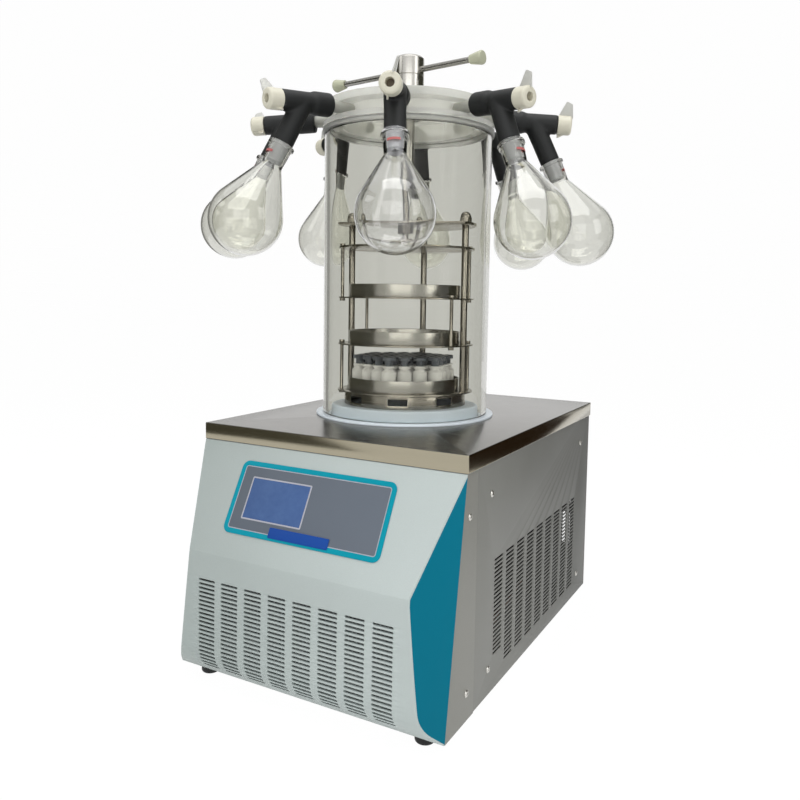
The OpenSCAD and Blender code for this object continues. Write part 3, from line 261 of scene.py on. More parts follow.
# %% [markdown]
# ## Floor
# The floor is a pale sheet that turns up into a backdrop behind the machine. It is white where nothing
# shades it, and it keeps the machine's soft contact shadow.

# %% Build the floor
FLOOR_HALF, FLOOR_BEND, FLOOR_RISE = 18.0, 3.0, 20.0
FLOOR_WHITE = 1.04
FLOOR_GLOW = 0.93  # share of plain white that the floor shows; the rest takes the machine's shadow
floor_mesh = bpy.data.meshes.new("floor")
BEND_STEPS = 12
profile = [(-FLOOR_HALF, 0.0)]
for i in range(BEND_STEPS + 1):
    a = math.pi / 2 * i / BEND_STEPS
    profile.append((FLOOR_HALF - FLOOR_BEND + FLOOR_BEND * math.sin(a),
                    FLOOR_BEND - FLOOR_BEND * math.cos(a)))
profile.append((FLOOR_HALF, FLOOR_RISE))
points = [(x, y, z) for y, z in profile for x in (-FLOOR_HALF, FLOOR_HALF)]
faces = [(2 * i, 2 * i + 1, 2 * i + 3, 2 * i + 2) for i in range(len(profile) - 1)]
floor_mesh.from_pydata(points, [], faces)
floor_obj = bpy.data.objects.new("floor", floor_mesh)
floor_obj.rotation_euler.z = math.radians(CAMERA_YAW)  # its backdrop stands square to the view
bpy.context.collection.objects.link(floor_obj)
floor_paint, tree = bare_material("floor_paint")
path = wire(tree, "ShaderNodeLightPath")
dust = wire(tree, "ShaderNodeTexNoise", {"Scale": 40.0, "Detail": 4.0})
tint = wire(tree, "ShaderNodeMix", {"Factor": dust.outputs["Fac"], 6: (0.80, 0.80, 0.80, 1),
                                    7: (0.83, 0.83, 0.82, 1)}, data_type="RGBA")
paper = wire(tree, "ShaderNodeBsdfDiffuse", {"Color": tint.outputs[2]})
glow = wire(tree, "ShaderNodeEmission", {
    "Color": (1, 1, 1, 1), "Strength": glass_light(tree, path, FLOOR_WHITE)})
part = maths(tree, "MULTIPLY", seen(tree, path), FLOOR_GLOW)
shade = wire(tree, "ShaderNodeMixShader", {0: part, 1: paper.outputs[0], 2: glow.outputs[0]})
wire(tree, "ShaderNodeOutputMaterial", {"Surface": shade.outputs[0]})
floor_mesh.materials.append(floor_paint)
floor_obj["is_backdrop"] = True
print("floor", 2 * FLOOR_HALF, "m wide")

# %% [markdown]
# ## Effects that several finishes share
# Powder coat, moulded rubber and ground steel differ in scale more than in kind. Three small node groups make
# their masks: even grain with slow drift, fine lines along a chosen direction, and lines that run round the
# drum's axis. The groups put out masks only. The shader and its plain values stay in each material.

# %% Build the three effect groups
def effect_group(name, inputs, outputs):
    """An empty shader node group with named value or vector inputs and value outputs."""
    group = bpy.data.node_groups.new(name, "ShaderNodeTree")
    for label, value in inputs:
        kind = "NodeSocketVector" if isinstance(value, tuple) else "NodeSocketFloat"
        socket = group.interface.new_socket(label, in_out="INPUT", socket_type=kind)
        socket.default_value = value
    for label in outputs:
        group.interface.new_socket(label, in_out="OUTPUT", socket_type="NodeSocketFloat")
    return group, group.nodes.new("NodeGroupInput"), group.nodes.new("NodeGroupOutput")


grain_group, g_in, g_out = effect_group(
    "grain_and_drift", [("Grain Scale", 900.0), ("Drift Scale", 6.0)], ["Grain", "Drift"])
place = wire(grain_group, "ShaderNodeTexCoord")
fine = wire(grain_group, "ShaderNodeTexNoise", {
    "Vector": place.outputs["Object"], "Scale": g_in.outputs["Grain Scale"], "Detail": 2.0, "Roughness": 0.6})
slow = wire(grain_group, "ShaderNodeTexNoise", {
    "Vector": place.outputs["Object"], "Scale": g_in.outputs["Drift Scale"], "Detail": 3.0, "Roughness": 0.5})
grain_group.links.new(fine.outputs["Fac"], g_out.inputs["Grain"])
grain_group.links.new(slow.outputs["Fac"], g_out.inputs["Drift"])

line_group, l_in, l_out = effect_group(
    "brushed_lines", [("Line Scale", (20.0, 900.0, 900.0)), ("Patch Scale", 5.0)], ["Lines", "Patches"])
place = wire(line_group, "ShaderNodeTexCoord")
stretch = wire(line_group, "ShaderNodeVectorMath", {
    0: place.outputs["Object"], 1: l_in.outputs["Line Scale"]}, operation="MULTIPLY")
fine = wire(line_group, "ShaderNodeTexNoise", {"Vector": stretch.outputs[0], "Scale": 1.0, "Detail": 3.0})
slow = wire(line_group, "ShaderNodeTexNoise", {
    "Vector": place.outputs["Object"], "Scale": l_in.outputs["Patch Scale"], "Detail": 2.0})
line_group.links.new(fine.outputs["Fac"], l_out.inputs["Lines"])
line_group.links.new(slow.outputs["Fac"], l_out.inputs["Patches"])

# Lines that run round the drum's axis, as on a turned disc
turn_group, t_in, t_out = effect_group("turned_lines", [("Line Scale", 700.0)], ["Lines", "Patches"])
place = wire(turn_group, "ShaderNodeTexCoord")
apart = wire(turn_group, "ShaderNodeSeparateXYZ", {0: place.outputs["Object"]})
flat = wire(turn_group, "ShaderNodeCombineXYZ", {0: apart.outputs[0], 1: apart.outputs[1]})
radius = wire(turn_group, "ShaderNodeVectorMath", {0: flat.outputs[0]}, operation="LENGTH")
rolled = wire(turn_group, "ShaderNodeCombineXYZ", {0: radius.outputs["Value"], 1: apart.outputs[2]})
scaled = wire(turn_group, "ShaderNodeVectorMath", {0: rolled.outputs[0], "Scale": t_in.outputs["Line Scale"]},
              operation="SCALE")
sweep = wire(turn_group, "ShaderNodeCombineXYZ", {
    2: maths(turn_group, "ARCTAN2", apart.outputs[1], apart.outputs[0])})
wound = wire(turn_group, "ShaderNodeVectorMath", {0: scaled.outputs[0], 1: sweep.outputs[0]}, operation="ADD")
fine = wire(turn_group, "ShaderNodeTexNoise", {"Vector": wound.outputs[0], "Scale": 1.0, "Detail": 2.0})
slow = wire(turn_group, "ShaderNodeTexNoise", {"Vector": place.outputs["Object"], "Scale": 9.0})
turn_group.links.new(fine.outputs["Fac"], t_out.inputs["Lines"])
turn_group.links.new(slow.outputs["Fac"], t_out.inputs["Patches"])
print("effect groups:", [g.name for g in bpy.data.node_groups])

# %% [markdown]
# ## Finishes
# One function makes a finish: a Principled shader with plain values, whose colour, roughness and bump get a
# little variation from an effect group. A real surface never has one exact colour.

# %% A function for every finish
def mixed(tree, mask, low, high):
    """Colour between low and high, by a mask."""
    mix = wire(tree, "ShaderNodeMix", {"Factor": mask, 6: (*low, 1), 7: (*high, 1)}, data_type="RGBA")
    return mix.outputs[2]


def ranged(tree, mask, low, high):
    """Value from low to high, by a mask that lies mostly between 0.3 and 0.7."""
    fit = wire(tree, "ShaderNodeMapRange", {"Value": mask, "From Min": 0.3, "From Max": 0.7,
                                            "To Min": low, "To Max": high})
    return fit.outputs["Result"]


GRADIENT_SHIFT = 0.42  # how far a gradient shifts the colour mask at each end


def finish(name, low, high, rough, metal=0.0, bump=0.00002, effect=grain_group, values=None, gradient=None,
           **shader):
    """A procedural finish: colours low to high, roughness range, bump height in metres, effect group values.

    A gradient (axis, start, end) lets the colour go slowly from low to high along an axis. On the pale paint
    it is painted light and shade: darker on the left, away from the light, and lighter on the right.
    """
    made, tree = bare_material(name)
    source = wire(tree, "ShaderNodeGroup", node_tree=effect)
    for key, value in (values or {}).items():
        source.inputs[key].default_value = value
    fine, slow = source.outputs[0], source.outputs[1]
    relief = wire(tree, "ShaderNodeBump", {"Height": fine, "Distance": bump, "Strength": 1.0})
    mask = maths(tree, "MULTIPLY", maths(tree, "ADD", fine, slow), 0.5)
    if gradient:
        axis, start, end = gradient
        spot = wire(tree, "ShaderNodeSeparateXYZ", {0: wire(tree, "ShaderNodeTexCoord").outputs["Object"]})
        ramp = wire(tree, "ShaderNodeMapRange", {
            "Value": spot.outputs[axis], "From Min": start, "From Max": end, "To Min": -GRADIENT_SHIFT, "To Max": GRADIENT_SHIFT})
        mask = wire(tree, "ShaderNodeMath", {0: mask, 1: ramp.outputs["Result"]}, operation="ADD",
                    use_clamp=True).outputs[0]
    surface = wire(tree, "ShaderNodeBsdfPrincipled", {
        "Base Color": mixed(tree, mask, low, high),
        "Roughness": ranged(tree, fine, rough[0], rough[1]),
        "Normal": relief.outputs["Normal"],
        "Metallic": metal,
    })
    for key, value in shader.items():
        surface.inputs[key.replace("_", " ").title().replace("Ior", "IOR")].default_value = value
    wire(tree, "ShaderNodeOutputMaterial", {"Surface": surface.outputs[0]})
    made.diffuse_color = (*high, 1)
    return made


def clear_finish(name, tint, rough, ior, wave):
    """Clear glass or acrylic: light passes through, and a slow wave bends it a little."""
    made, tree = bare_material(name)
    source = wire(tree, "ShaderNodeGroup", node_tree=grain_group)
    source.inputs["Grain Scale"].default_value = 22.0
    source.inputs["Drift Scale"].default_value = 60.0
    relief = wire(tree, "ShaderNodeBump", {"Height": source.outputs[0], "Distance": wave, "Strength": 1.0})
    surface = wire(tree, "ShaderNodeBsdfPrincipled", {
        "Base Color": mixed(tree, source.outputs[1], tint, tuple(min(1, c * 1.02) for c in tint)),
        "Roughness": ranged(tree, source.outputs[1], rough, rough + 0.02),
        "Normal": relief.outputs["Normal"],
        "Metallic": 0.0, "Transmission Weight": 1.0, "IOR": ior,
    })
    wire(tree, "ShaderNodeOutputMaterial", {"Surface": surface.outputs[0]})
    return made


# %% The finishes of this machine
# The pale paint's gradient along X is painted shade at the left and painted light at the right of the front
# cover.
PALE_PAINT = finish("pale_paint", (0.405, 0.458, 0.445), (0.555, 0.618, 0.608), (0.42, 0.52), bump=0.000012,
                    gradient=(0, -0.185, 0.165))
# The grey paint's gradient along Y makes it darker towards the back of the cabinet.
GREY_PAINT = finish("grey_paint", (0.110, 0.111, 0.102), (0.262, 0.262, 0.242), (0.45, 0.55), bump=0.000012,
                    gradient=(1, 0.30, -0.24))
FLANGE_PAINT = finish("flange_paint", (0.252, 0.250, 0.225), (0.285, 0.282, 0.256), (0.45, 0.55),
                      bump=0.000012)
TEAL_PAINT = finish("teal_paint", (0.0, 0.165, 0.255), (0.0, 0.19, 0.285), (0.38, 0.48), bump=0.00001,
                    specular_ior_level=0.1)
BORDER_INK = finish("border_ink", (0.0, 0.29, 0.385), (0.0, 0.33, 0.44), (0.3, 0.38), bump=0.000004,
                    specular_ior_level=0.12)
MEMBRANE = finish("membrane", (0.100, 0.122, 0.156), (0.134, 0.158, 0.195), (0.4, 0.55), bump=0.00002,
                  values={"Grain Scale": 1600.0, "Drift Scale": 14.0})
SCREEN = finish("screen", (0.035, 0.085, 0.245), (0.085, 0.165, 0.37), (0.4, 0.5), bump=0.000001,
                values={"Grain Scale": 160.0, "Drift Scale": 45.0}, specular_ior_level=0.3)
SCREEN_RIM = finish("screen_rim", (0.40, 0.40, 0.46), (0.50, 0.50, 0.56), (0.3, 0.4))
STRIP_INK = finish("strip_ink", (0.003, 0.052, 0.30), (0.010, 0.078, 0.37), (0.35, 0.45),
                   specular_ior_level=0.2)
GROUND_LINES = {"Line Scale": (25.0, 1400.0, 1400.0), "Patch Scale": 3.0}
# The top face and its folded lip are one steel sheet in two colours: the top darker, the lip brighter and
# warmer. The difference is painted light and reflection.
TOP_STEEL = finish("top_steel", (0.164, 0.155, 0.135), (0.205, 0.196, 0.178), (0.2, 0.28), metal=1.0,
                   bump=0.000003, effect=line_group, values=GROUND_LINES)
LIT_LIP_STEEL = finish("lit_lip_steel", (0.36, 0.325, 0.24), (0.43, 0.395, 0.30), (0.13, 0.19), metal=1.0,
                   bump=0.000002, effect=line_group, values=GROUND_LINES)
TURNED_STEEL = finish("turned_steel", (0.47, 0.455, 0.42), (0.57, 0.555, 0.52), (0.2, 0.26), metal=1.0,
                      bump=0.0000003, effect=turn_group)
BRIGHT_STEEL = finish("bright_steel", (0.36, 0.335, 0.29), (0.46, 0.43, 0.38), (0.18, 0.28), metal=1.0,
                      bump=0.0000015, effect=turn_group, values={"Line Scale": 1500.0})
BAR_STEEL = finish("bar_steel", (0.26, 0.255, 0.235), (0.36, 0.35, 0.33), (0.18, 0.28), metal=1.0,
                   bump=0.000002)
PLATED_SHEET = finish("plated_sheet", (0.50, 0.52, 0.53), (0.62, 0.63, 0.64), (0.3, 0.5), metal=1.0,
                      bump=0.00001, values={"Grain Scale": 60.0})
SCREW_STEEL = finish("screw_steel", (0.55, 0.54, 0.5), (0.68, 0.67, 0.63), (0.2, 0.35), metal=1.0)
RUBBER = finish("rubber", (0.008, 0.009, 0.009), (0.016, 0.017, 0.017), (0.5, 0.62), bump=0.00003,
                values={"Grain Scale": 700.0, "Drift Scale": 20.0}, specular_ior_level=0.32)
SILICONE = finish("silicone", (0.78, 0.78, 0.74), (0.86, 0.86, 0.82), (0.3, 0.4),
                  transmission_weight=0.7, ior=1.2)
WHITE_RING = finish("white_ring", (0.78, 0.85, 0.92), (0.84, 0.91, 0.97), (0.28, 0.4), bump=0.00001)
COLLAR_WHITE = finish("collar_white", (0.60, 0.68, 0.77), (0.68, 0.76, 0.85), (0.3, 0.4), bump=0.00001)
TUBE_WHITE = finish("tube_white", (0.50, 0.50, 0.45), (0.60, 0.60, 0.54), (0.3, 0.45), bump=0.00001,
                    transmission_weight=0.35)
IVORY = finish("ivory", (0.70, 0.67, 0.54), (0.78, 0.75, 0.63), (0.3, 0.42), bump=0.000015,
               values={"Grain Scale": 500.0, "Drift Scale": 25.0})
# painted shade: the dark floor of the caps' finger holes
HOLE_SHADE_PAINT = finish("painted_hole_shade", (0.10, 0.075, 0.045), (0.15, 0.11, 0.07), (0.5, 0.6))
FIN_IVORY = finish("fin_ivory", (0.66, 0.66, 0.62), (0.74, 0.74, 0.70), (0.3, 0.42), bump=0.00001,
                   transmission_weight=0.3)
RED_MARK = finish("red_mark", (0.45, 0.10, 0.10), (0.55, 0.16, 0.15), (0.4, 0.5), bump=0.000004)
GREEN_IVORY = finish("green_ivory", (0.46, 0.47, 0.34), (0.55, 0.56, 0.42), (0.35, 0.45), bump=0.000015)
STOPPER = finish("stopper_rubber", (0.058, 0.066, 0.078), (0.105, 0.116, 0.130), (0.3, 0.4), bump=0.00002)
GROUND_GLASS = finish("ground_glass", (0.50, 0.51, 0.53), (0.62, 0.63, 0.64), (0.35, 0.5), bump=0.00002,
                      transmission_weight=0.5)
FOAM = finish("foam", (0.55, 0.48, 0.30), (0.65, 0.57, 0.38), (0.8, 0.95), bump=0.0003,
              values={"Grain Scale": 350.0})
COPPER = finish("copper", (0.60, 0.27, 0.16), (0.74, 0.38, 0.24), (0.25, 0.4), metal=1.0)
ENAMEL = finish("enamel", (0.012, 0.012, 0.013), (0.02, 0.02, 0.022), (0.25, 0.35))
FIN_METAL = finish("fin_metal", (0.48, 0.50, 0.50), (0.6, 0.62, 0.62), (0.35, 0.5), metal=1.0)
BLACK_PLASTIC = finish("black_plastic", (0.012, 0.012, 0.012), (0.02, 0.02, 0.02), (0.4, 0.5))
BOARD = finish("board_green", (0.01, 0.12, 0.05), (0.02, 0.16, 0.07), (0.3, 0.5))
RED_PLASTIC = finish("red_plastic", (0.42, 0.015, 0.015), (0.5, 0.025, 0.02), (0.3, 0.4))
BRASS = finish("brass", (0.58, 0.40, 0.15), (0.7, 0.5, 0.22), (0.25, 0.4), metal=1.0)
ACRYLIC = clear_finish("acrylic", (0.835, 0.835, 0.795), 0.0, 1.18, 0.00003)
MILKY = finish("milky_acrylic", (0.90, 0.90, 0.86), (0.96, 0.96, 0.92), (0.12, 0.2), bump=0.00001,
               transmission_weight=0.6, ior=1.16)
# The front flask's glass is clear; the other seven flasks' glass is a little darker and warmer.
FLASK_GLASS = clear_finish("flask_glass", (0.98, 0.98, 0.98), 0.0, 1.47, 0.00003)
TINTED_GLASS = clear_finish("tinted_glass", (0.95, 0.95, 0.912), 0.0, 1.47, 0.00003)
VIAL_GLASS = finish("vial_glass", (0.80, 0.79, 0.76), (0.90, 0.89, 0.86), (0.08, 0.16), bump=0.00001,
                    transmission_weight=0.35, ior=1.3)
print("finishes:", len(bpy.data.materials))

# %% [markdown]
# ## Tools for making pieces
# Most parts of this machine are turned on a lathe or cut from sheet, so two makers cover nearly all of them:
# one turns an outline round an axis, the other raises an outline to a thickness. Corners are rounded in the
# outline itself, so that every edge catches light as a real one does.

# %% Outline and mesh makers
ROUND_STEPS = 5


def softened(outline, closed=True, steps=ROUND_STEPS):
    """Rounds each corner (x, y, radius) of an outline, and gives back plain (x, y) points."""
    done = []
    count = len(outline)
    for i, corner in enumerate(outline):
        here = Vector(corner[:2])
        radius = corner[2] if len(corner) > 2 else 0
        if radius == 0 or (not closed and i in (0, count - 1)):
            done.append(tuple(here))
            continue
        before = Vector(outline[i - 1][:2]) - here
        after = Vector(outline[(i + 1) % count][:2]) - here
        u, v = before.normalized(), after.normalized()
        half = u.angle(v) / 2
        reach = min(radius / math.tan(half), 0.49 * before.length, 0.49 * after.length)
        r = reach * math.tan(half)
        middle = here + (u + v).normalized() * (r / math.sin(half))
        first, last = here + u * reach - middle, here + v * reach - middle
        start = math.atan2(first.y, first.x)
        swing = (math.atan2(last.y, last.x) - start + math.pi) % (2 * math.pi) - math.pi
        for k in range(steps + 1):
            a = start + swing * k / steps
            done.append((middle.x + r * math.cos(a), middle.y + r * math.sin(a)))
    return done


def arc(x, y, r, start, end, steps):
    """Points on an arc, angles in degrees."""
    turns = [math.radians(start + (end - start) * k / steps) for k in range(steps + 1)]
    return [(x + r * math.cos(a), y + r * math.sin(a)) for a in turns]


def turned(outline, steps=96):
    """Turns an outline of (radius, height) points round Z. One that leaves the axis closes on itself."""
    bm = bmesh.new()
    rings = []
    for r, z in outline:
        if r < 1e-6:
            rings.append([bm.verts.new((0, 0, z))])
        else:
            turns = [2 * math.pi * k / steps for k in range(steps)]
            rings.append([bm.verts.new((r * math.cos(a), r * math.sin(a), z)) for a in turns])
    pairs = list(zip(rings, rings[1:]))
    if len(rings[0]) > 1 or len(rings[-1]) > 1:
        pairs.append((rings[-1], rings[0]))
    for low, high in pairs:
        for k in range(steps):
            n = (k + 1) % steps
            if len(low) == 1 and len(high) == 1:
                continue
            if len(low) == 1:
                bm.faces.new((low[0], high[n], high[k]))
            elif len(high) == 1:
                bm.faces.new((low[k], low[n], high[0]))
            else:
                bm.faces.new((low[k], low[n], high[n], high[k]))
    return bm


def raised(outline, low, high, hole=None):
    """Raises an outline of (x, y) points from one height to another. A hole has as many points as it has."""
    bm = bmesh.new()
    loops = [[bm.verts.new((x, y, z)) for x, y in outline] for z in (low, high)]
    count = len(outline)
    for k in range(count):
        n = (k + 1) % count
        bm.faces.new((loops[0][k], loops[0][n], loops[1][n], loops[1][k]))
    if hole is None:
        bm.faces.new(list(reversed(loops[0])))
        bm.faces.new(loops[1])
        return bm
    inner = [[bm.verts.new((x, y, z)) for x, y in hole] for z in (low, high)]
    for k in range(count):
        n = (k + 1) % count
        bm.faces.new((inner[0][n], inner[0][k], inner[1][k], inner[1][n]))
        bm.faces.new((loops[1][k], loops[1][n], inner[1][n], inner[1][k]))
        bm.faces.new((loops[0][n], loops[0][k], inner[0][k], inner[0][n]))
    return bm


def swept(path, radius, sides=12):
    """A round bar along a list of points, with closed ends."""
    bm = bmesh.new()
    path = [Vector(p) for p in path]
    rings = []
    normal = None
    for i, point in enumerate(path):
        along = (path[min(i + 1, len(path) - 1)] - path[max(i - 1, 0)]).normalized()
        if normal is None:
            normal = along.cross((0, 0, 1) if abs(along.z) < 0.9 else (1, 0, 0)).normalized()
        normal = (normal - along * normal.dot(along)).normalized()
        other = along.cross(normal)
        rings.append([bm.verts.new(point + radius * (normal * math.cos(2 * math.pi * k / sides)
                                                     + other * math.sin(2 * math.pi * k / sides)))
                      for k in range(sides)])
    for low, high in zip(rings, rings[1:]):
        for k in range(sides):
            n = (k + 1) % sides
            bm.faces.new((low[k], low[n], high[n], high[k]))
    bm.faces.new(list(reversed(rings[0])))
    bm.faces.new(rings[-1])
    return bm


def moved(bm, *steps):
    """Moves and turns a mesh by matrices, the first one first."""
    for step in steps:
        bm.transform(step)
    return bm


def joined(*parts):
    """One mesh from several."""
    whole = bmesh.new()
    for part in parts:
        held = bpy.data.meshes.new("held")
        part.to_mesh(held)
        whole.from_mesh(held)
        bpy.data.meshes.remove(held)
        part.free()
    return whole


def shift(x=0.0, y=0.0, z=0.0):
    return Matrix.Translation((x, y, z))


def about(axis, degrees):
    return Matrix.Rotation(math.radians(degrees), 4, axis)

# %% [markdown]
# A finished mesh becomes a piece: it is scaled to metres, its normals are turned outward, and it is shaded
# smooth except at real edges. It then takes the place of the solids that it stands for, and rides on their
# body. A piece that the solid model already shapes well is a welded copy with rounded edges.

# %% Turn a mesh into a piece
body_of = {n: b for b, names in frame["record"]["behaviour"]["bodies"].items() for n in names}
SMOOTH_ANGLE = 32


def as_object(name, bm, finish_used, scale=MM):
    """A mesh object from a mesh in millimetres, with its normals outward."""
    bmesh.ops.recalc_face_normals(bm, faces=bm.faces)
    bm.transform(Matrix.Scale(scale, 4))
    mesh = bpy.data.meshes.new(name)
    bm.to_mesh(mesh)
    bm.free()
    if finish_used is not None:
        mesh.materials.append(finish_used)
    for face in mesh.polygons:
        face.use_smooth = True
    mesh.set_sharp_from_angle(angle=math.radians(SMOOTH_ANGLE))
    obj = bpy.data.objects.new(name, mesh)
    bpy.context.collection.objects.link(obj)
    return obj


def settled(obj, smooth=SMOOTH_ANGLE):
    """Applies an object's modifiers, so that it is a plain mesh."""
    ready = bpy.context.evaluated_depsgraph_get()
    mesh = bpy.data.meshes.new_from_object(
        obj.evaluated_get(ready), preserve_all_data_layers=False, depsgraph=ready)
    obj.modifiers.clear()
    obj.data = mesh
    for face in mesh.polygons:
        face.use_smooth = True
    mesh.set_sharp_from_angle(angle=math.radians(smooth))
    return obj


def stands_for(obj, *solids, body=None):
    """The piece rides on a body and replaces solids of the frame."""
    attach(obj, body or body_of[solids[0]])
    if solids:
        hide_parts(*solids)
    return obj


def rounded_edges(obj, width, segments=2, angle=34):
    """Rounds the sharp edges of an object by a width in millimetres."""
    bevel = obj.modifiers.new("rounded", "BEVEL")
    bevel.width = width * MM
    bevel.segments = segments
    bevel.limit_method = "ANGLE"
    bevel.angle_limit = math.radians(angle)
    bevel.use_clamp_overlap = True
    even = obj.modifiers.new("even", "WEIGHTED_NORMAL")  # keeps large faces flat beside their rounded edges
    even.keep_sharp = True
    return settled(obj)


def piece(name, bm, finish_used, *solids, body=None, edge=None):
    """A finished piece from a mesh in millimetres. An edge (width, segments) rounds its sharp edges."""
    obj = as_object(name, bm, finish_used)
    if edge:
        rounded_edges(obj, *edge)
    stands_for(obj, *solids, body=body)
    print(f"{name}: {len(obj.data.polygons)} faces")
    return obj


def welded_copy(node, finish_used, width=0.3):
    """A copy of a solid: its loose triangles are welded, flat faces are joined, sharp edges are rounded."""
    bm = bmesh.new()
    bm.from_mesh(nodes[node].data)
    bmesh.ops.remove_doubles(bm, verts=bm.verts, dist=2e-6)
    bmesh.ops.dissolve_limit(bm, angle_limit=math.radians(0.4), verts=bm.verts, edges=bm.edges)
    obj = as_object(node + "_finished", bm, finish_used, scale=1.0)
    if width:
        rounded_edges(obj, width)
    stands_for(obj, node)
    print(f"{obj.name}: {len(obj.data.polygons)} faces")
    return obj


def cut_out(obj, *cutters):
    """Cuts closed shapes out of an object, and removes them."""
    for cutter in cutters:
        cut = obj.modifiers.new("cut", "BOOLEAN")
        cut.operation = "DIFFERENCE"
        cut.solver = "EXACT"
        cut.object = cutter
    settled(obj)
    for cutter in cutters:
        bpy.data.objects.remove(cutter)
    return obj


# %% [markdown]
# ## Repeating shapes
# Air slots, screws, vials and valves repeat. A Geometry Nodes tree lays one pattern on points: a grid of
# slots is worked out from its pitch, and other copies follow a list of places, each with its own turn. The
# result is made into a plain mesh before the frame uses it.

# %% Build the two repeating trees
def tree_with(name, inputs):
    """An empty Geometry Nodes tree with a geometry input and output, and named inputs."""
    tree = bpy.data.node_groups.new(name, "GeometryNodeTree")
    tree.interface.new_socket("Points", in_out="INPUT", socket_type="NodeSocketGeometry")
    for label, kind, value in inputs:
        socket = tree.interface.new_socket(label, in_out="INPUT", socket_type=kind)
        if value is not None:
            socket.default_value = value
    tree.interface.new_socket("Copies", in_out="OUTPUT", socket_type="NodeSocketGeometry")
    return tree, tree.nodes.new("NodeGroupInput"), tree.nodes.new("NodeGroupOutput")


copies_tree, c_in, c_out = tree_with("copies_on_points", [
    ("Pattern", "NodeSocketObject", None), ("Finish", "NodeSocketMaterial", None)])
shape = wire(copies_tree, "GeometryNodeObjectInfo", {"Object": c_in.outputs["Pattern"]})
turns = wire(copies_tree, "GeometryNodeInputNamedAttribute", {"Name": "turn"}, data_type="FLOAT_VECTOR")
turned_to = wire(copies_tree, "FunctionNodeEulerToRotation", {"Euler": turns.outputs["Attribute"]})
laid = wire(copies_tree, "GeometryNodeInstanceOnPoints", {
    "Points": c_in.outputs["Points"], "Instance": shape.outputs["Geometry"],
    "Rotation": turned_to.outputs["Rotation"]})
real = wire(copies_tree, "GeometryNodeRealizeInstances", {"Geometry": laid.outputs["Instances"]})
coated = wire(copies_tree, "GeometryNodeSetMaterial", {
    "Geometry": real.outputs["Geometry"], "Material": c_in.outputs["Finish"]})
copies_tree.links.new(coated.outputs["Geometry"], c_out.inputs["Copies"])

grid_tree, s_in, s_out = tree_with("slot_grid", [
    ("Pattern", "NodeSocketObject", None), ("Columns", "NodeSocketInt", 8), ("Rows", "NodeSocketInt", 22),
    ("Column Pitch", "NodeSocketFloat", 0.03), ("Row Pitch", "NodeSocketFloat", 0.005),
    ("Rows Left Out", "NodeSocketInt", 0)])
shape = wire(grid_tree, "GeometryNodeObjectInfo", {"Object": s_in.outputs["Pattern"]})
last_column = maths(grid_tree, "SUBTRACT", s_in.outputs["Columns"], 1.0)
last_row = maths(grid_tree, "SUBTRACT", s_in.outputs["Rows"], 1.0)
grid = wire(grid_tree, "GeometryNodeMeshGrid", {
    "Size X": maths(grid_tree, "MULTIPLY", last_column, s_in.outputs["Column Pitch"]),
    "Size Y": maths(grid_tree, "MULTIPLY", last_row, s_in.outputs["Row Pitch"]),
    "Vertices X": s_in.outputs["Columns"], "Vertices Y": s_in.outputs["Rows"]})
number = wire(grid_tree, "GeometryNodeInputIndex")
left_out = wire(grid_tree, "FunctionNodeCompare", {
    2: number.outputs["Index"], 3: s_in.outputs["Rows Left Out"]}, data_type="INT", operation="LESS_THAN")
kept = wire(grid_tree, "GeometryNodeDeleteGeometry", {
    "Geometry": grid.outputs["Mesh"], "Selection": left_out.outputs["Result"]}, domain="POINT")
laid = wire(grid_tree, "GeometryNodeInstanceOnPoints", {
    "Points": kept.outputs["Geometry"], "Instance": shape.outputs["Geometry"]})
real = wire(grid_tree, "GeometryNodeRealizeInstances", {"Geometry": laid.outputs["Instances"]})
grid_tree.links.new(real.outputs["Geometry"], s_out.inputs["Copies"])


def with_tree(obj, tree, **values):
    """Runs a tree on an object and leaves a plain mesh."""
    added = obj.modifiers.new("repeat", "NODES")
    added.node_group = tree
    names = {s.name: s.identifier for s in tree.interface.items_tree if s.in_out == "INPUT"}
    for label, value in values.items():
        added[names[label.replace("_", " ").title()]] = value
    bpy.context.view_layer.update()
    return settled(obj)


def repeated(name, pattern, places, finish_used, *solids, body=None):
    """Copies of one mesh in millimetres at a list of matrices, as one piece."""
    source = as_object(name + "_pattern", pattern, finish_used)
    points = bpy.data.meshes.new(name)
    points.from_pydata([tuple(p.to_translation() * MM) for p in places], [], [])
    turn_values = points.attributes.new("turn", "FLOAT_VECTOR", "POINT")
    for i, p in enumerate(places):
        turn_values.data[i].vector = tuple(p.to_euler())
    obj = bpy.data.objects.new(name, points)
    bpy.context.collection.objects.link(obj)
    with_tree(obj, copies_tree, pattern=source, finish=finish_used)
    bpy.data.objects.remove(source)
    stands_for(obj, *solids, body=body)
    print(f"{name}: {len(places)} copies, {len(obj.data.polygons)} faces")
    return obj


def slot_cutters(columns, rows, pitch, row_pitch, left_out, length, height, depth):
    """A grid of closed slot shapes, centred, lying in X and Y and reaching along Z."""
    end = height / 2
    outline = arc(length / 2 - end, 0, end, -90, 90, 6) + arc(-length / 2 + end, 0, end, 90, 270, 6)
    source = as_object("slot", raised(outline, -depth / 2, depth / 2), None)
    empty = bpy.data.objects.new("slots", bpy.data.meshes.new("slots"))
    bpy.context.collection.objects.link(empty)
    with_tree(empty, grid_tree, pattern=source, columns=columns, rows=rows, column_pitch=pitch * MM,
              row_pitch=row_pitch * MM, rows_left_out=left_out)
    bpy.data.objects.remove(source)
    return empty

# %% [markdown]
# ## Cabinet front
# The front cover is one sheet: a sloped face for the panel, a fold, a front that bows a little, and a round
# turn under the belly. Its two front corners are cut off by flat facets that carry a coloured trim. The
# side outline of the cover is drawn once, raised to the cabinet's width, cut by the facets and hollowed.

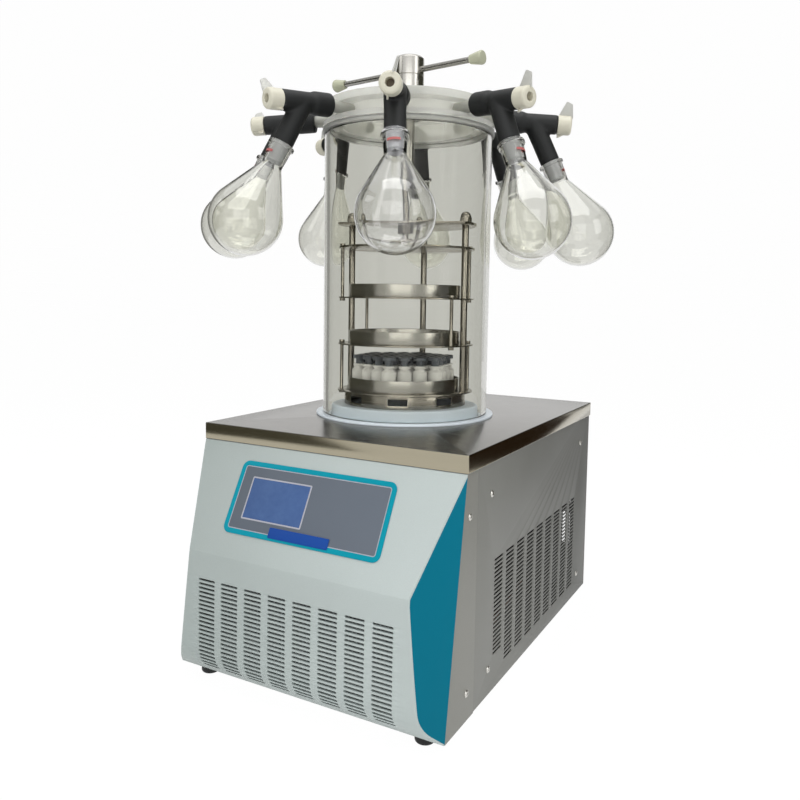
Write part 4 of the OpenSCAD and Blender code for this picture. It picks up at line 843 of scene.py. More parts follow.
# %% Side outline of the front cover, in millimetres from the top plate's front edge
in_cabinet = shift(cab_x, cab_y)
COVER_HALF, COVER_T, COVER_BACK, TRIM_T, SHEET_GAP = 199.0, 2.5, 31.0, 3.0, 0.3
FOLD, FOLD_R, BELLY, TOE, BELLY_R = (-69.0, 182.0), 6.0, (-72.0, 60.0), (-47.0, 14.0), 40.0
FOOT_TOP = TOE[1]
SIDEWAYS = Matrix(((0, 0, 1, 0), (1, 0, 0, 0), (0, 1, 0, 0), (0, 0, 0, 1)))
FRONTWAYS = Matrix(((1, 0, 0, 0), (0, 0, -1, 0), (0, 1, 0, 0), (0, 0, 0, 1)))


def front_line(steps=16):
    """Front of the cover from the fold down to the toe, as points of Y and Z."""
    start, pull, end = (FOLD[0] - 1, FOLD[1] - 8), (BELLY[0], (FOLD[1] + BELLY[1]) * 0.45), BELLY
    fold = softened([(0, lip_z), (*FOLD, FOLD_R), start], closed=False, steps=6)[1:-1]
    bow = []
    for k in range(steps + 1):
        t = k / steps
        shares = (1 - t) ** 2, 2 * t * (1 - t), t * t
        bow.append(tuple(shares[0] * a + shares[1] * b + shares[2] * c for a, b, c in zip(start, pull, end)))
    corner = (BELLY[0], FOOT_TOP + TOE[0] - BELLY[0])
    turn_under = softened([(BELLY[0], corner[1] + 40), (*corner, BELLY_R), TOE], closed=False, steps=14)[1:]
    return fold + bow + [p for p in turn_under if p[1] < BELLY[1] - 0.5]


FACET_A = Vector((COVER_HALF, 0, lip_z))
FACET_B = Vector((162.5, *FOLD))
FACET_C = Vector((COVER_HALF, *TOE))
facet_normal = (FACET_B - FACET_A).cross(FACET_C - FACET_A).normalized()
if facet_normal.x < 0:
    facet_normal.negate()


def cut_by_facets(bm, depth, keep_inside=True, sides=(1, -1)):
    """Cuts a mesh with the facet planes, moved inward by a depth, and closes the cut."""
    for side in sides:
        normal = Vector((side * facet_normal.x, facet_normal.y, facet_normal.z))
        point = Vector((side * FACET_A.x, FACET_A.y, FACET_A.z)) - depth * normal
        cut = bmesh.ops.bisect_plane(
            bm, geom=bm.verts[:] + bm.edges[:] + bm.faces[:], dist=1e-4, plane_co=point, plane_no=normal,
            clear_outer=keep_inside, clear_inner=not keep_inside)
        edges = [e for e in cut["geom_cut"] if isinstance(e, bmesh.types.BMEdge)]
        bmesh.ops.contextual_create(bm, geom=edges)
    return bm


slope_y = FOLD[0] / (lip_z - FOLD[1])  # ground gained per millimetre down the slope
outer_line = [(COVER_BACK, lip_z - SHEET_GAP), (slope_y * SHEET_GAP, lip_z - SHEET_GAP)] + front_line()
outer_line += [(COVER_BACK, FOOT_TOP)]
inner_top = lip_z - COVER_T
room = COVER_T * 1.2
inner_line = [(90, inner_top), (slope_y * COVER_T + room, inner_top)]
inner_line += [(y + room, z) for y, z in front_line()] + [(TOE[0] + room, -5), (90, -5)]

cover = as_object("front_cover", moved(cut_by_facets(moved(
    raised(outer_line, -COVER_HALF, COVER_HALF), SIDEWAYS), 0.3), in_cabinet), PALE_PAINT)
hollow = as_object("hollow", moved(cut_by_facets(moved(
    raised(inner_line, -COVER_HALF + COVER_T, COVER_HALF - COVER_T), SIDEWAYS), TRIM_T + COVER_T),
    in_cabinet), None)
FRONT_SLOT = dict(columns=8, rows=22, pitch=37.5, row_pitch=5.55, left_out=0,
                  length=27.5, height=3.1, depth=40)
FRONT_SLOT_TOP = 146.4
front_slots = slot_cutters(**FRONT_SLOT)
middle_z = FRONT_SLOT_TOP - (FRONT_SLOT["rows"] - 1) * FRONT_SLOT["row_pitch"] / 2
front_slots.data.transform(shift(cab_x * MM, (cab_y + BELLY[0] + 6) * MM, middle_z * MM) @ FRONTWAYS)
cut_out(cover, hollow, front_slots)
rounded_edges(cover, 0.45)
cover.data.materials.append(FLANGE_PAINT)
for face in cover.data.polygons:
    if abs(face.normal.x) > 0.97:
        face.material_index = 1
stands_for(cover, "front_bezel")
print("front cover:", len(cover.data.polygons), "faces")

# %% [markdown]
# The trims are thin slabs of the same outline, set back a little from the cover's front edge, so that the
# cover shows as a pale rim beside the colour.

# %% Corner trims
RIM_W, SLAB_T = 1.7, 0.5
slab_line = [(COVER_BACK, lip_z - 2.2), (RIM_W + slope_y * 2.2, lip_z - 2.2)]
slab_line += [(y + RIM_W, z) for y, z in front_line()[:-1]]
slab_line += [(TOE[0] + RIM_W, FOOT_TOP + 0.4), (COVER_BACK, FOOT_TOP + 0.4)]
slabs = []
for side in (1, -1):
    slab = moved(raised(slab_line, -COVER_HALF, COVER_HALF), SIDEWAYS)
    cut_by_facets(slab, 0, sides=(side,))
    cut_by_facets(slab, SLAB_T, keep_inside=False, sides=(side,))
    slabs.append(slab)
piece("corner_trims", moved(joined(*slabs), in_cabinet), TEAL_PAINT, "side_trims", edge=(0.2,))

# %% [markdown]
# ## Control panel
# The panel is built in layers on the sloped face: a coloured border, a grey face inside it, a screen with a
# thin pale frame, and a plain strip across the border's lower edge.

# %% Panel layers on the slope
slope = math.degrees(math.atan2(lip_z - FOLD[1], -FOLD[0]))
on_slope = shift(0, 0, lip_z) @ about("X", slope)
PANEL = dict(left=-119.4, right=115.2, top=-21.4, bottom=-117)
BORDER_W, PANEL_R = 6.5, 10.0
SCREEN_BOX = dict(left=-96.5, right=-2.7, top=-41.2, bottom=-96.8)
STRIP_BOX = dict(left=-46.6, right=43, top=-100.8, bottom=-114)


def plate_outline(box, radius, inset=0.0, steps=8):
    """Rounded rectangle of a box, made smaller on each side by an inset."""
    left, right = box["left"] + inset, box["right"] - inset
    low, high = box["bottom"] + inset, box["top"] - inset
    r = max(radius - inset, 0.4)
    return softened([(left, low, r), (right, low, r), (right, high, r), (left, high, r)], steps=steps)


def on_panel(bm):
    return moved(bm, on_slope, in_cabinet)


SCREEN_FRAME_W, PANEL_LINE_W = 1.9, 1.1
inside = plate_outline(PANEL, PANEL_R, BORDER_W)
thin_lines = joined(
    raised(plate_outline(SCREEN_BOX, 1.9), 0.4, 1.15, hole=plate_outline(SCREEN_BOX, 1.9, SCREEN_FRAME_W)),
    raised(inside, 0.7, 0.95, hole=plate_outline(PANEL, PANEL_R, BORDER_W + PANEL_LINE_W)))
piece("panel_border", on_panel(raised(plate_outline(PANEL, PANEL_R), 0, 1.2, hole=inside)), BORDER_INK,
      "panel_frame", edge=(0.45, 3))
piece("panel_plate", on_panel(raised(inside, 0, 0.8)), MEMBRANE, "panel_face", edge=(0.15,))
piece("panel_screen", on_panel(raised(plate_outline(SCREEN_BOX, 1.5, 1.6), 0.4, 0.95)), SCREEN,
      "display", edge=(0.1,))
piece("screen_rim", on_panel(thin_lines), SCREEN_RIM, body="root", edge=(0.2,))
piece("panel_strip", on_panel(raised(plate_outline(STRIP_BOX, 1.6), 1.2, 2.0)), STRIP_INK,
      "label_plate", edge=(0.3,))
print("panel slope", round(slope, 1), "degrees")

# %% [markdown]
# ## Side panels, top plate, feet and screws
# Each side panel is a flat sheet with its own grid of slots; the column nearest the front is shorter. The
# top is a steel tray turned upside down, with its edges folded down and rounded.

# %% Sheets of the cabinet
SIDE_X, SHEET_T = 198.2, 1.5
SIDE_SLOT = dict(columns=9, rows=27, pitch=39.3, row_pitch=5.55, left_out=4,
                 length=28.5, height=3.1, depth=20)
SIDE_SLOT_TOP, SIDE_SLOT_FIRST = 184.0, 105.25
sheet_back = cab_back - cab_front - SHEET_T - SHEET_GAP
under_top = top_z - SHEET_T
for side, name in ((1, "right"), (-1, "left")):
    outline = [(COVER_BACK + SHEET_GAP, FOOT_TOP), (sheet_back, FOOT_TOP), (sheet_back, under_top),
               (COVER_BACK + SHEET_GAP, under_top)]
    low, high = sorted((side * (SIDE_X - SHEET_T), side * SIDE_X))
    sheet = as_object("side_sheet_" + name, moved(raised(outline, low, high), SIDEWAYS, in_cabinet),
                      GREY_PAINT)
    slots = slot_cutters(**SIDE_SLOT)
    middle_y = SIDE_SLOT_FIRST + (SIDE_SLOT["columns"] - 1) * SIDE_SLOT["pitch"] / 2
    middle_z = SIDE_SLOT_TOP - (SIDE_SLOT["rows"] - 1) * SIDE_SLOT["row_pitch"] / 2
    slots_place = shift((cab_x + side * SIDE_X) * MM, (cab_y + middle_y) * MM, middle_z * MM)
    slots.data.transform(slots_place @ SIDEWAYS)
    cut_out(sheet, slots)
    rounded_edges(sheet, 0.35)
    stands_for(sheet, "side_panel_" + name)
    print(sheet.name, len(sheet.data.polygons), "faces")

top_half = (cab_right - cab_left) / 2
top_deep = cab_back - cab_front
EDGE_R, TRAP_HOLE_R = 1.7, 89.5
corners = [(-top_half, 0, 1.2), (top_half, 0, 1.2), (top_half, top_deep, 1.2), (-top_half, top_deep, 1.2)]
top_block = as_object("steel_top", moved(raised(softened(corners), lip_z, top_z), in_cabinet), TOP_STEEL)
rounded_edges(top_block, EDGE_R, 4, angle=60)
under = [(-top_half + SHEET_T, SHEET_T), (top_half - SHEET_T, SHEET_T),
         (top_half - SHEET_T, top_deep - SHEET_T), (-top_half + SHEET_T, top_deep - SHEET_T)]
pocket = as_object("pocket", moved(raised(under, lip_z - 9, under_top), in_cabinet), None)
trap_hole = as_object(
    "trap_hole", raised(arc(0, 0, TRAP_HOLE_R, 0, 360, 95)[:-1], under_top - 9, top_z + 9), None)
cut_out(top_block, pocket, trap_hole)
# the lip faces take the lit copy of the steel, whose brighter, warmer colour is painted light and reflection
top_block.data.materials.append(LIT_LIP_STEEL)
for face in top_block.data.polygons:
    if abs(face.normal.z) < 0.3:
        face.material_index = 1
stands_for(top_block, "top_plate")
print("top plate:", len(top_block.data.polygons), "faces")

# %% Feet and screws
FOOT_R, FOOT_IN, FOOT_FRONT = 13.0, 35.0, 28.0
foot = turned([(0, 0)] + softened([(0, 0), (FOOT_R, 0, 4), (FOOT_R - 1.5, FOOT_TOP, 0.8), (0, FOOT_TOP)],
                                  closed=False)[1:], 48)
foot_places = [in_cabinet @ shift(x, y, 0) for x in (-top_half + FOOT_IN, top_half - FOOT_IN)
               for y in (-FOOT_FRONT, top_deep - FOOT_IN)]
repeated("rubber_feet", foot, foot_places, RUBBER, "feet")

SCREW_R, SCREW_HEAD = 4.5, 2.0
head = as_object("head", turned(softened([
    (0, -0.6), (SCREW_R, -0.6), (SCREW_R, 0.6, 0.4), (2.9, SCREW_HEAD, 1.2), (0, SCREW_HEAD)],
    closed=False), 32), None)
bar_line = [(-2.4, -0.45), (2.4, -0.45), (2.4, 0.45), (-2.4, 0.45)]
cross = [as_object("cross", moved(raised(bar_line, SCREW_HEAD - 0.9, SCREW_HEAD + 1), about("Z", a)), None)
         for a in (20, 110)]
cut_out(head, *cross)
head_mesh = bmesh.new()
head_mesh.from_mesh(head.data)
head_mesh.transform(Matrix.Scale(1 / MM, 4))
bpy.data.objects.remove(head)
SCREW_HIGH, SCREW_LOW = lip_z - 39.5, FOOT_TOP + 34.5
screw_places = []
for side in (1, -1):
    outward = about("Y", 90 * side)
    for y in (76, sheet_back - 50):
        for z in (SCREW_HIGH, SCREW_LOW):
            screw_places.append(in_cabinet @ shift(side * SIDE_X, y, z) @ outward)
    for z in (SCREW_HIGH - 12, SCREW_LOW):
        screw_places.append(in_cabinet @ shift(side * COVER_HALF, 9, z) @ outward)
for x in (-150, 0, 150):
    for z in (SCREW_LOW - 20, lip_z - 10):
        screw_places.append(in_cabinet @ shift(x, sheet_back, z) @ about("X", -90))
repeated("cabinet_screws", head_mesh, screw_places, SCREW_STEEL, "panel_screws")

# %% [markdown]
# ## Drum, lid and rings
# The drum is a thick acrylic tube, and the lid is a spool of the same stuff: a lower disc, a ring wall and
# an upper disc. A white ring closes the trap's mouth, and rubber rings seal the drum at both ends.

# %% Turned parts on the drum's axis
collar_low, collar_top = span("trap_collar", 2)
ring_low, ring_top = span("base_gasket", 2)
lid_low, lid_top = span("lid", 2)
DRUM_WALL, MOUTH_R, MOUTH_OUT, SEAL_IN, SEAL_OUT = 8.0, 84, 111, 112, 135
LID_SEAL_IN, FLANGE_R, DISC_R, LID_BORE_R = 115, 128, 125, 12.1
piece("acrylic_drum", turned(softened([
    (drum_r - DRUM_WALL, drum_low, 0.8), (drum_r, drum_low, 0.8), (drum_r, drum_top, 1.2),
    (drum_r - DRUM_WALL, drum_top, 1.2)]), 160), ACRYLIC, "drum")
piece("mouth_ring", turned(softened([
    (MOUTH_R, collar_low, 0.5), (MOUTH_OUT, collar_low, 0.5), (MOUTH_OUT, collar_top, 3),
    (MOUTH_R, collar_top, 3)]), 128),
    COLLAR_WHITE, "trap_collar")
piece("base_seal", turned(softened([
    (SEAL_IN, ring_low, 0.4), (SEAL_OUT, ring_low, 0.6), (SEAL_OUT, ring_top, 1.3),
    (SEAL_IN, ring_top, 0.8)]), 128),
    WHITE_RING, "base_gasket")
piece("lid_seal", turned(softened([
    (LID_SEAL_IN, drum_top, 0.5), (FLANGE_R, drum_top, 1.5), (FLANGE_R, lid_low, 1.5),
    (LID_SEAL_IN, lid_low, 0.5)]), 128),
    SILICONE, "lid_gasket")
FLANGE_T, SPOOL_GAP, RING_IN, RING_OUT = 8.0, 18.0, 97.0, 105.0
flange_top = lid_low + FLANGE_T
disc_low = flange_top + SPOOL_GAP
piece("acrylic_lid", turned(softened([
    (RING_IN, lid_low, 0.8), (FLANGE_R, lid_low, 0.8), (FLANGE_R, flange_top, 1), (RING_OUT, flange_top, 1),
    (RING_OUT, disc_low, 1), (DISC_R, disc_low, 1), (DISC_R, lid_top, 1.4), (LID_BORE_R, lid_top, 0.6),
    (LID_BORE_R, disc_low, 0.6), (RING_IN, disc_low, 1)]), 128), MILKY, "lid")

# %% [markdown]
# ## Press drive
# A T-bar turns a steel head, whose tube reaches through the lid down to the press screw.

# %% Head, T-bar and knobs
head_low, head_top = span("drive_head", 2)
BAR_R, BAR_UP, BAR_TURN, BAR_HALF, BAR_SLID = 4.3, 52.6, -8.0, 138.0, 10.5
KNOB_L, KNOB_R, KNOB_IN_R = 21.0, 9.8, 6.4
BOSS_T, BOSS_BORE_R, BOSS_NECK_R, BOSS_RIM_R = 3.0, 8.6, 12, 20
NUT_OUT, NUT_DEEP = 17, 12  # the boss's nut under the lid
HEAD_R, TUBE_R, SOCKET_R, SOCKET_L = 21.5, 8.5, 5.9, 84
GROOVE_H, GROOVE_DEEP = 2, 1.2  # a turned groove round the head, under the bar
bar_z = lid_top + BAR_UP
head_foot = lid_top + BOSS_T + SHEET_GAP
piece("drive_boss", turned(softened([
    (BOSS_BORE_R, disc_low - NUT_DEEP), (NUT_OUT, disc_low - NUT_DEEP, 0.8), (NUT_OUT, disc_low),
    (BOSS_NECK_R, disc_low), (BOSS_NECK_R, lid_top), (BOSS_RIM_R, lid_top, 0.3),
    (BOSS_RIM_R, lid_top + BOSS_T, 0.8), (BOSS_BORE_R, lid_top + BOSS_T)]), 64), TURNED_STEEL, "press_boss")
piece("drive_hub", turned(softened([
    (0, head_top), (HEAD_R - 3, head_top, 1), (HEAD_R, head_top - 3, 1.2), (HEAD_R, bar_z - 7),
    (HEAD_R - GROOVE_DEEP, bar_z - 7.6), (HEAD_R - GROOVE_DEEP, bar_z - 8.4), (HEAD_R, bar_z - 7 - GROOVE_H),
    (HEAD_R, head_foot, 0.8), (TUBE_R, head_foot), (TUBE_R, head_low, 0.5), (SOCKET_R, head_low),
    (SOCKET_R, head_low + SOCKET_L), (0, head_low + SOCKET_L)], closed=False), 96),
    TURNED_STEEL, "drive_head")
bar_place = (about("Y", 90), shift(-BAR_SLID), about("Z", BAR_TURN), shift(0, 0, bar_z))
piece("cross_bar", moved(turned(softened([
    (0, -BAR_HALF + 8), (BAR_R, -BAR_HALF + 8), (BAR_R, BAR_HALF - 8), (0, BAR_HALF - 8)], closed=False), 32),
    *bar_place), BAR_STEEL, "drive_bar")
knob_line = softened([
    (BAR_R, BAR_HALF - KNOB_L), (KNOB_IN_R, BAR_HALF - KNOB_L, 0.8), (KNOB_R, BAR_HALF - 3.5, 2),
    (KNOB_R - 0.3, BAR_HALF, 2.2), (0, BAR_HALF)], closed=False)
knob_line = [(0, BAR_HALF - 8), (BAR_R, BAR_HALF - 8)] + knob_line
knobs = [moved(turned(knob_line, 48), about("Y", 180 * k)) for k in (0, 1)]
piece("bar_ends", moved(joined(*knobs), *bar_place), GREEN_IVORY, "bar_knobs")

# %% [markdown]
# ## Rack
# The rack hangs together from turned posts, round plates and thin link rods. Its plates come from the solid
# model, welded and with rounded edges, because their holes must line up. The posts get dome nuts.

# %% Plates, posts and screw
for node, width in (("rack_base", 0.3), ("rack_top", 0.6), ("press_plate", 0.4), ("shelf_1", 0.35),
                    ("shelf_2", 0.35), ("shelf_3", 0.35)):
    welded_copy(node, BRIGHT_STEEL, width)
shelf_top = span("tray_3", 2)[0]
rack_top_top = span("rack_top", 2)[1]
rack_top_low = rack_top_top - 4
POST_R, POST_CIRCLE, POST_AZ = 5.0, 90.0, 11.0


def hexagon(r, corner):
    """Six-sided outline with rounded corners."""
    return softened([(*point, corner) for point in arc(0, 0, r, 0, 300, 5)], steps=2)


SPIGOT_R, NUT_R, NUT_H, DOME_R = 3.5, 9.0, 8.0, 7.6
post_line = softened([
    (0, shelf_top - 2), (SPIGOT_R, shelf_top - 2), (SPIGOT_R, shelf_top), (POST_R, shelf_top, 0.3),
    (POST_R, rack_top_low, 0.3), (SPIGOT_R, rack_top_low), (SPIGOT_R, rack_top_top + 1),
    (0, rack_top_top + 1)], closed=False)
dome_line = [(0, rack_top_top + NUT_H - 0.5), (DOME_R, rack_top_top + NUT_H - 0.5)]
dome_line += arc(0, rack_top_top + NUT_H + 1, DOME_R, 0, 90, 10)[:-1]
dome_line += [(0, rack_top_top + 16.6)]
post = joined(turned(post_line, 32), raised(hexagon(NUT_R, 0.8), rack_top_top, rack_top_top + NUT_H),
              turned(dome_line, 40))
post_places = [about("Z", POST_AZ + 90 * k) @ shift(POST_CIRCLE, 0, 0) for k in range(3)]
repeated("rack_pillars", post, post_places, BRIGHT_STEEL, "rack_posts")

screw_low, screw_top = span("press_screw", 2)
THREAD_R, THREAD_TOP, THREAD_PITCH, THREAD_DEPTH, STEPS_ROUND = 6.0, 680.0, 3.0, 0.7, 24
core_r, ridge_r = THREAD_R - THREAD_DEPTH, THREAD_R - 0.75
core = turned([(0, screw_low), (core_r, screw_low), (core_r, THREAD_TOP), (0, THREAD_TOP)], 28)
ridge_path = []
for k in range(int((THREAD_TOP - screw_low - 2) / THREAD_PITCH) * STEPS_ROUND):
    a = 2 * math.pi * k / STEPS_ROUND
    height = screw_low + 1 + THREAD_PITCH * k / STEPS_ROUND
    ridge_path.append((ridge_r * math.cos(a), ridge_r * math.sin(a), height))
shank = raised(hexagon(5.7, 0.3), THREAD_TOP - 2, screw_top)
piece("threaded_screw", joined(core, swept(ridge_path, 0.74, 6), shank), BRIGHT_STEEL, "press_screw")

# %% [markdown]
# ## Trays, vials and stoppers
# The trays are pressed from sheet. Vials stand in a honeycomb, each with a crowned stopper that is only half
# pushed in, as freeze drying needs. A vial is hollow, so that the press can push its stopper down into it.

# %% Trays
TRAY_R, TRAY_T, TRAY_H = 84.0, 1.5, 19.0
tray_low = {n: span(n, 2)[0] for n in ("tray_1", "tray_2", "tray_3")}
for node, low in tray_low.items():
    x0, x1 = span(node, 0)
    y0, y1 = span(node, 1)
    inner_r, top = TRAY_R - TRAY_T, low + TRAY_H
    line = softened([(0, low), (TRAY_R, low, 1.6), (TRAY_R, top, 0.7), (inner_r, top, 0.7),
                     (inner_r, low + TRAY_T, 0.8), (0, low + TRAY_T)], closed=False)
    piece(node + "_pan", moved(turned(line, 128), shift((x0 + x1) / 2, (y0 + y1) / 2, 0)), TURNED_STEEL, node)

# %% Vials and stoppers
VIAL_R, VIAL_H, VIAL_PITCH, VIAL_RINGS = 11.0, 37.5, 22.6, 3
x0, x1 = span("tray_3", 0)
y0, y1 = span("tray_3", 1)
tray_place = shift((x0 + x1) / 2, (y0 + y1) / 2, 0) @ about("Z", POST_AZ - 90)
vial_low = tray_low["tray_3"] + TRAY_T
vial_places = []
for i in range(-VIAL_RINGS, VIAL_RINGS + 1):
    for j in range(-VIAL_RINGS, VIAL_RINGS + 1):
        if abs(i + j) <= VIAL_RINGS:
            across, along = VIAL_PITCH * (i + j / 2), VIAL_PITCH * j * math.sqrt(3) / 2
            vial_places.append(tray_place @ shift(across, along, vial_low))
vial = turned(softened([
    (0, 0.6), (VIAL_R - 3, 0), (VIAL_R, 0, 1.6), (VIAL_R, VIAL_H - 9, 2.2), (7, VIAL_H - 5, 1.2),
    (7, VIAL_H - 3.5, 0.5), (9, VIAL_H - 3.5, 1), (9, VIAL_H, 1), (6, VIAL_H, 0.4), (6, VIAL_H - 6, 1),
    (VIAL_R - 1, VIAL_H - 10, 1.5), (VIAL_R - 1, 1.8, 1), (0, 1.8)], closed=False, steps=4), 32)
repeated("glass_vials", vial, vial_places, VIAL_GLASS, "vials")
stopper = turned(softened([
    (0, -3), (5.6, -3, 0.5), (5.6, 7.3, 0.3), (9.4, 7.3, 0.5), (9.4, 12, 0.9), (8.4, 12.7, 0.3),
    (3.5, 12.7, 0.4), (3, 12.1), (0, 12.1)], closed=False, steps=3), 32)
repeated("vial_stoppers", stopper, [p @ shift(0, 0, VIAL_H) for p in vial_places], STOPPER, "stoppers")

# %% [markdown]
# ## Flask valves
# A valve is a rubber T-piece. Its tube and its branch are moulded in one, so the two are joined here, melted
# together by a remesh and smoothed, which gives the moulded fillet between them. Each cap has a thin fin, and
# a dark disc of painted shade lies at the floor of the finger hole in its end.

# %% Valve bodies, tubes and caps
ports = 8
PORT_AZ, port_z = -66.6, flange_top + SPOOL_GAP / 2 - 0.5
VALVE_IN, VALVE_OUT, VALVE_R, COLLAR_R, COLLAR_L = 142.0, 219.5, 14.0, 16.0, 26.0
BRANCH_AT, BRANCH_SLOPE, BRANCH_R, BRANCH_L = 185.0, 62.0, 14.2, 64.0
VALVE_DROOP = 4.0  # degrees that a valve hangs where it sits on its tube
VALVE_TURNS = [4, -3, -4, 0, -4, -8, 13, -9]
port_places = [shift(0, 0, port_z) @ about("Z", PORT_AZ + 360 * k / ports) for k in range(ports)]
outward = about("Y", 90)
hang = shift(VALVE_IN) @ about("Y", VALVE_DROOP) @ shift(-VALVE_IN)
hung_places = [port @ hang for port in port_places]
valve_places = [hung @ about("X", valve_turn) for hung, valve_turn in zip(hung_places, VALVE_TURNS)]
branch_place = shift(BRANCH_AT, 0, 0) @ about("Y", 90 + BRANCH_SLOPE)
valve_tube = moved(turned(softened([
    (0, VALVE_IN), (COLLAR_R, VALVE_IN, 2), (COLLAR_R, VALVE_IN + COLLAR_L, 3),
    (VALVE_R, VALVE_IN + COLLAR_L + 5, 3), (VALVE_R, VALVE_OUT, 1.5), (0, VALVE_OUT)],
    closed=False), 64), outward)
branch = moved(turned(softened([
    (0, 0), (BRANCH_R + 0.6, 0), (BRANCH_R, 30, 8), (BRANCH_R, BRANCH_L - 0.3, 1), (0, BRANCH_L - 0.3)],
    closed=False), 64), branch_place)
valve = as_object("valve_pattern", joined(valve_tube, branch), RUBBER)
melt = valve.modifiers.new("melt", "REMESH")
melt.mode = "VOXEL"
melt.voxel_size = 1.5 * MM
soften = valve.modifiers.new("soften", "SMOOTH")
soften.factor = 0.5
soften.iterations = 6
settled(valve, smooth=80)
valve_mesh = bmesh.new()
valve_mesh.from_mesh(valve.data)
valve_mesh.transform(Matrix.Scale(1 / MM, 4))
bpy.data.objects.remove(valve)
repeated("rubber_valves", valve_mesh, valve_places, RUBBER, "valve_bodies")

NIPPLE_R, NIPPLE_END = 8.4, 150.0
tube_line = turned(softened([(5, RING_IN, 0.4), (NIPPLE_R, RING_IN, 0.6), (NIPPLE_R, NIPPLE_END, 0.8),
                             (5, NIPPLE_END, 0.5)]), 40)
repeated("lid_tubes", moved(tube_line, outward), port_places, TUBE_WHITE, "port_nipples")

CAP_L, CAP_GAP, PLUG_L, FIN_H, FIN_T, FINGER_R = 20.0, 0.3, 25.0, 34.0, 2.0, 5.75
HOLE_SHADE_AT = CAP_L - 11.7  # a dark disc of painted shade lies here, where a real hole lets no light in
CAP_TURNS = [-17, 0, 12, -8, 20, 5, 40, 30]
cap_outline = softened([
    (0, CAP_GAP - PLUG_L), (8.6, CAP_GAP - PLUG_L, 0.6), (8.6, 0), (VALVE_R, 0, 0.6), (VALVE_R, CAP_L, 4),
    (FINGER_R, CAP_L, 0.9), (FINGER_R, CAP_L - 12, 0.5), (0, CAP_L - 12)], closed=False)
FIN = [(0.6, 8), (0.6, VALVE_R, 3), (CAP_L / 2, FIN_H, 2.5), (CAP_L - 1, FIN_H - 4, 2), (CAP_L + 1.5, 10, 2),
       (CAP_L - 3, 8)]
POINTER = [(0.6, -8), (0.6, -VALVE_R - 4.4, 0.8), (3.4, -VALVE_R - 3.6, 0.8), (CAP_L - 2, -9, 2),
           (CAP_L - 3, -8)]
for k, (hung, cap_turn) in enumerate(zip(hung_places, CAP_TURNS), start=1):
    on_valve = shift(VALVE_OUT + CAP_GAP), hung
    body = moved(turned(cap_outline, 48), outward)
    flats = [moved(raised(softened(line), -FIN_T / 2, FIN_T / 2), FRONTWAYS) for line in (FIN, POINTER)]
    cap = as_object(f"valve_cap_{k}_moulded",
                    moved(joined(body, *flats), about("X", cap_turn), *on_valve), IVORY)
    stands_for(rounded_edges(cap, 0.4, 2, angle=50), f"valve_cap_{k}")
    cap.data.materials.append(FIN_IVORY)
    to_cap = hung.inverted()
    for face in cap.data.polygons:
        spot = to_cap @ (face.center / MM)
        if math.hypot(spot.y, spot.z) > VALVE_R + 0.6:
            face.material_index = 1
    # a thin dark disc paints the shade at the floor of each finger hole
    deep = raised(arc(0, 0, FINGER_R - 0.2, 0, 360, 32)[:-1], HOLE_SHADE_AT, HOLE_SHADE_AT + 0.4)
    hole_shade_disc = as_object(f"cap_hole_{k}", moved(deep, outward, *on_valve), HOLE_SHADE_PAINT)
    stands_for(hole_shade_disc, body=body_of[f"valve_cap_{k}"])
print("valve caps:", ports)

# %% [markdown]
# ## Flasks
# Each flask is blown glass of even wall: a ground neck, a straight cone and a ball that the cone meets
# without a bend. The inside line keeps 2 mm inside the outside line, so light bends as in a real hollow
# flask. A hollow ground cone joins the neck to the valve's branch, and a small red mark is printed on each
# neck.

# %% Flask outline and copies
BALL_R, BALL_S, GLASS_T = 48.8, 111.4, 2.0
NECK_R, NECK_LOW_R, NECK_L, NECK_BEND = 15.6, 13.9, 32.0, 7.0
BEAD_R, BEAD_H, BEAD_ROUND = 18.0, 5.0, 1.8
CONE_R, CONE_TIP_R, CONE_L, CONE_GAP, CONE_BORE = 12.0, 10.7, 26.0, 0.25, 4.0


def side_lean(r, length, ball):
    """Degrees that a straight side leans out from radius r, to touch a ball whose middle is a length away."""
    return math.degrees(math.asin(ball / math.hypot(r, length)) - math.atan2(r, length))


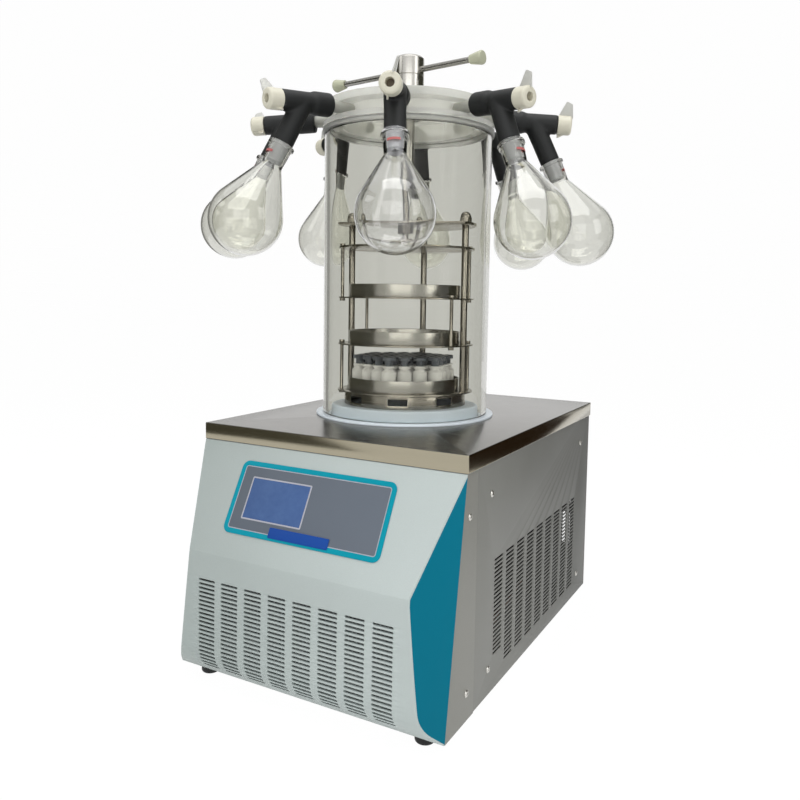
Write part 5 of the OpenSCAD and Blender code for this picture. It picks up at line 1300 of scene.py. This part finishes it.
to_ball = BALL_S - NECK_L
inner_ball, inner_low_r = BALL_R - GLASS_T, NECK_LOW_R - GLASS_T
flask_line = [(CONE_R + CONE_GAP, 0), (BEAD_R, 0, BEAD_ROUND), (BEAD_R, BEAD_H, BEAD_ROUND),
              (NECK_R, BEAD_H, 0.6), (NECK_LOW_R, NECK_L, NECK_BEND)]
flask_line += arc(0, BALL_S, BALL_R, -side_lean(NECK_LOW_R, to_ball, BALL_R), 90, 36)
flask_line += arc(0, BALL_S, inner_ball, 90, -side_lean(inner_low_r, to_ball, inner_ball), 36)
flask_line += [(inner_low_r, NECK_L, NECK_BEND), (CONE_TIP_R + CONE_GAP, CONE_L)]
flask_line = softened(flask_line)
cone_line = softened([(CONE_BORE, 0), (CONE_R, 0, 0.4), (CONE_TIP_R, CONE_L, 0.6), (CONE_BORE, CONE_L)])
flask_places = [valve @ branch_place @ shift(0, 0, BRANCH_L) for valve in valve_places]
repeated("clean_flask", turned(flask_line, 96), flask_places[:1], FLASK_GLASS, "flasks")
repeated("used_flasks", turned(flask_line, 72), flask_places[1:], TINTED_GLASS, "flasks")
repeated("ground_cones", turned(cone_line, 64), flask_places, GROUND_GLASS, "flasks")
MARK_S, MARK_HALF, MARK_H = 16.5, 33, 3.4  # place along the neck, half its angle in degrees, and its height
mark_r = NECK_R - (NECK_R - NECK_LOW_R) * (MARK_S - BEAD_H) / (NECK_L - BEAD_H)
mark_line = arc(0, 0, mark_r + 0.25, 180 - MARK_HALF, 180 + MARK_HALF, 10)
mark_line += arc(0, 0, mark_r - 0.2, 180 + MARK_HALF, 180 - MARK_HALF, 10)
mark_places = [place @ shift(0, 0, MARK_S) for place in flask_places]
repeated("neck_marks", raised(mark_line, -MARK_H / 2, MARK_H / 2), mark_places, RED_MARK,
         body=body_of["flasks"])

# %% [markdown]
# ## Back, cooling and electrics
# These parts sit behind slots or at the back. They keep the solid model's shapes, welded and eased at the
# edges, and each takes its own finish.

# %% Finish the remaining solids
for node, coat, width in (
        ("base_pan", PLATED_SHEET, 0.3), ("back_panel", GREY_PAINT, 0.3), ("cold_trap", BRIGHT_STEEL, 0.3),
        ("vacuum_port", TURNED_STEEL, 0.3), ("drain_valve", BRASS, 0.3), ("drain_lever", RED_PLASTIC, 0.3),
        ("power_inlet", BLACK_PLASTIC, 0.4), ("power_switch", RED_PLASTIC, 0.3), ("compressor", ENAMEL, 0.8),
        ("fan_blades", BLACK_PLASTIC, 0.3), ("fan_motor", ENAMEL, 0.5), ("condenser", FIN_METAL, 0),
        ("evaporator_coil", COPPER, 0), ("refrigerant_lines", COPPER, 0), ("trap_insulation", FOAM, 0.5),
        ("control_board", BOARD, 0.1)):
    welded_copy(node, coat, width)

size = {"cad": [list(v) for v in cad_box], "visual": [list(v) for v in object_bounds()]}
print("box:", size)
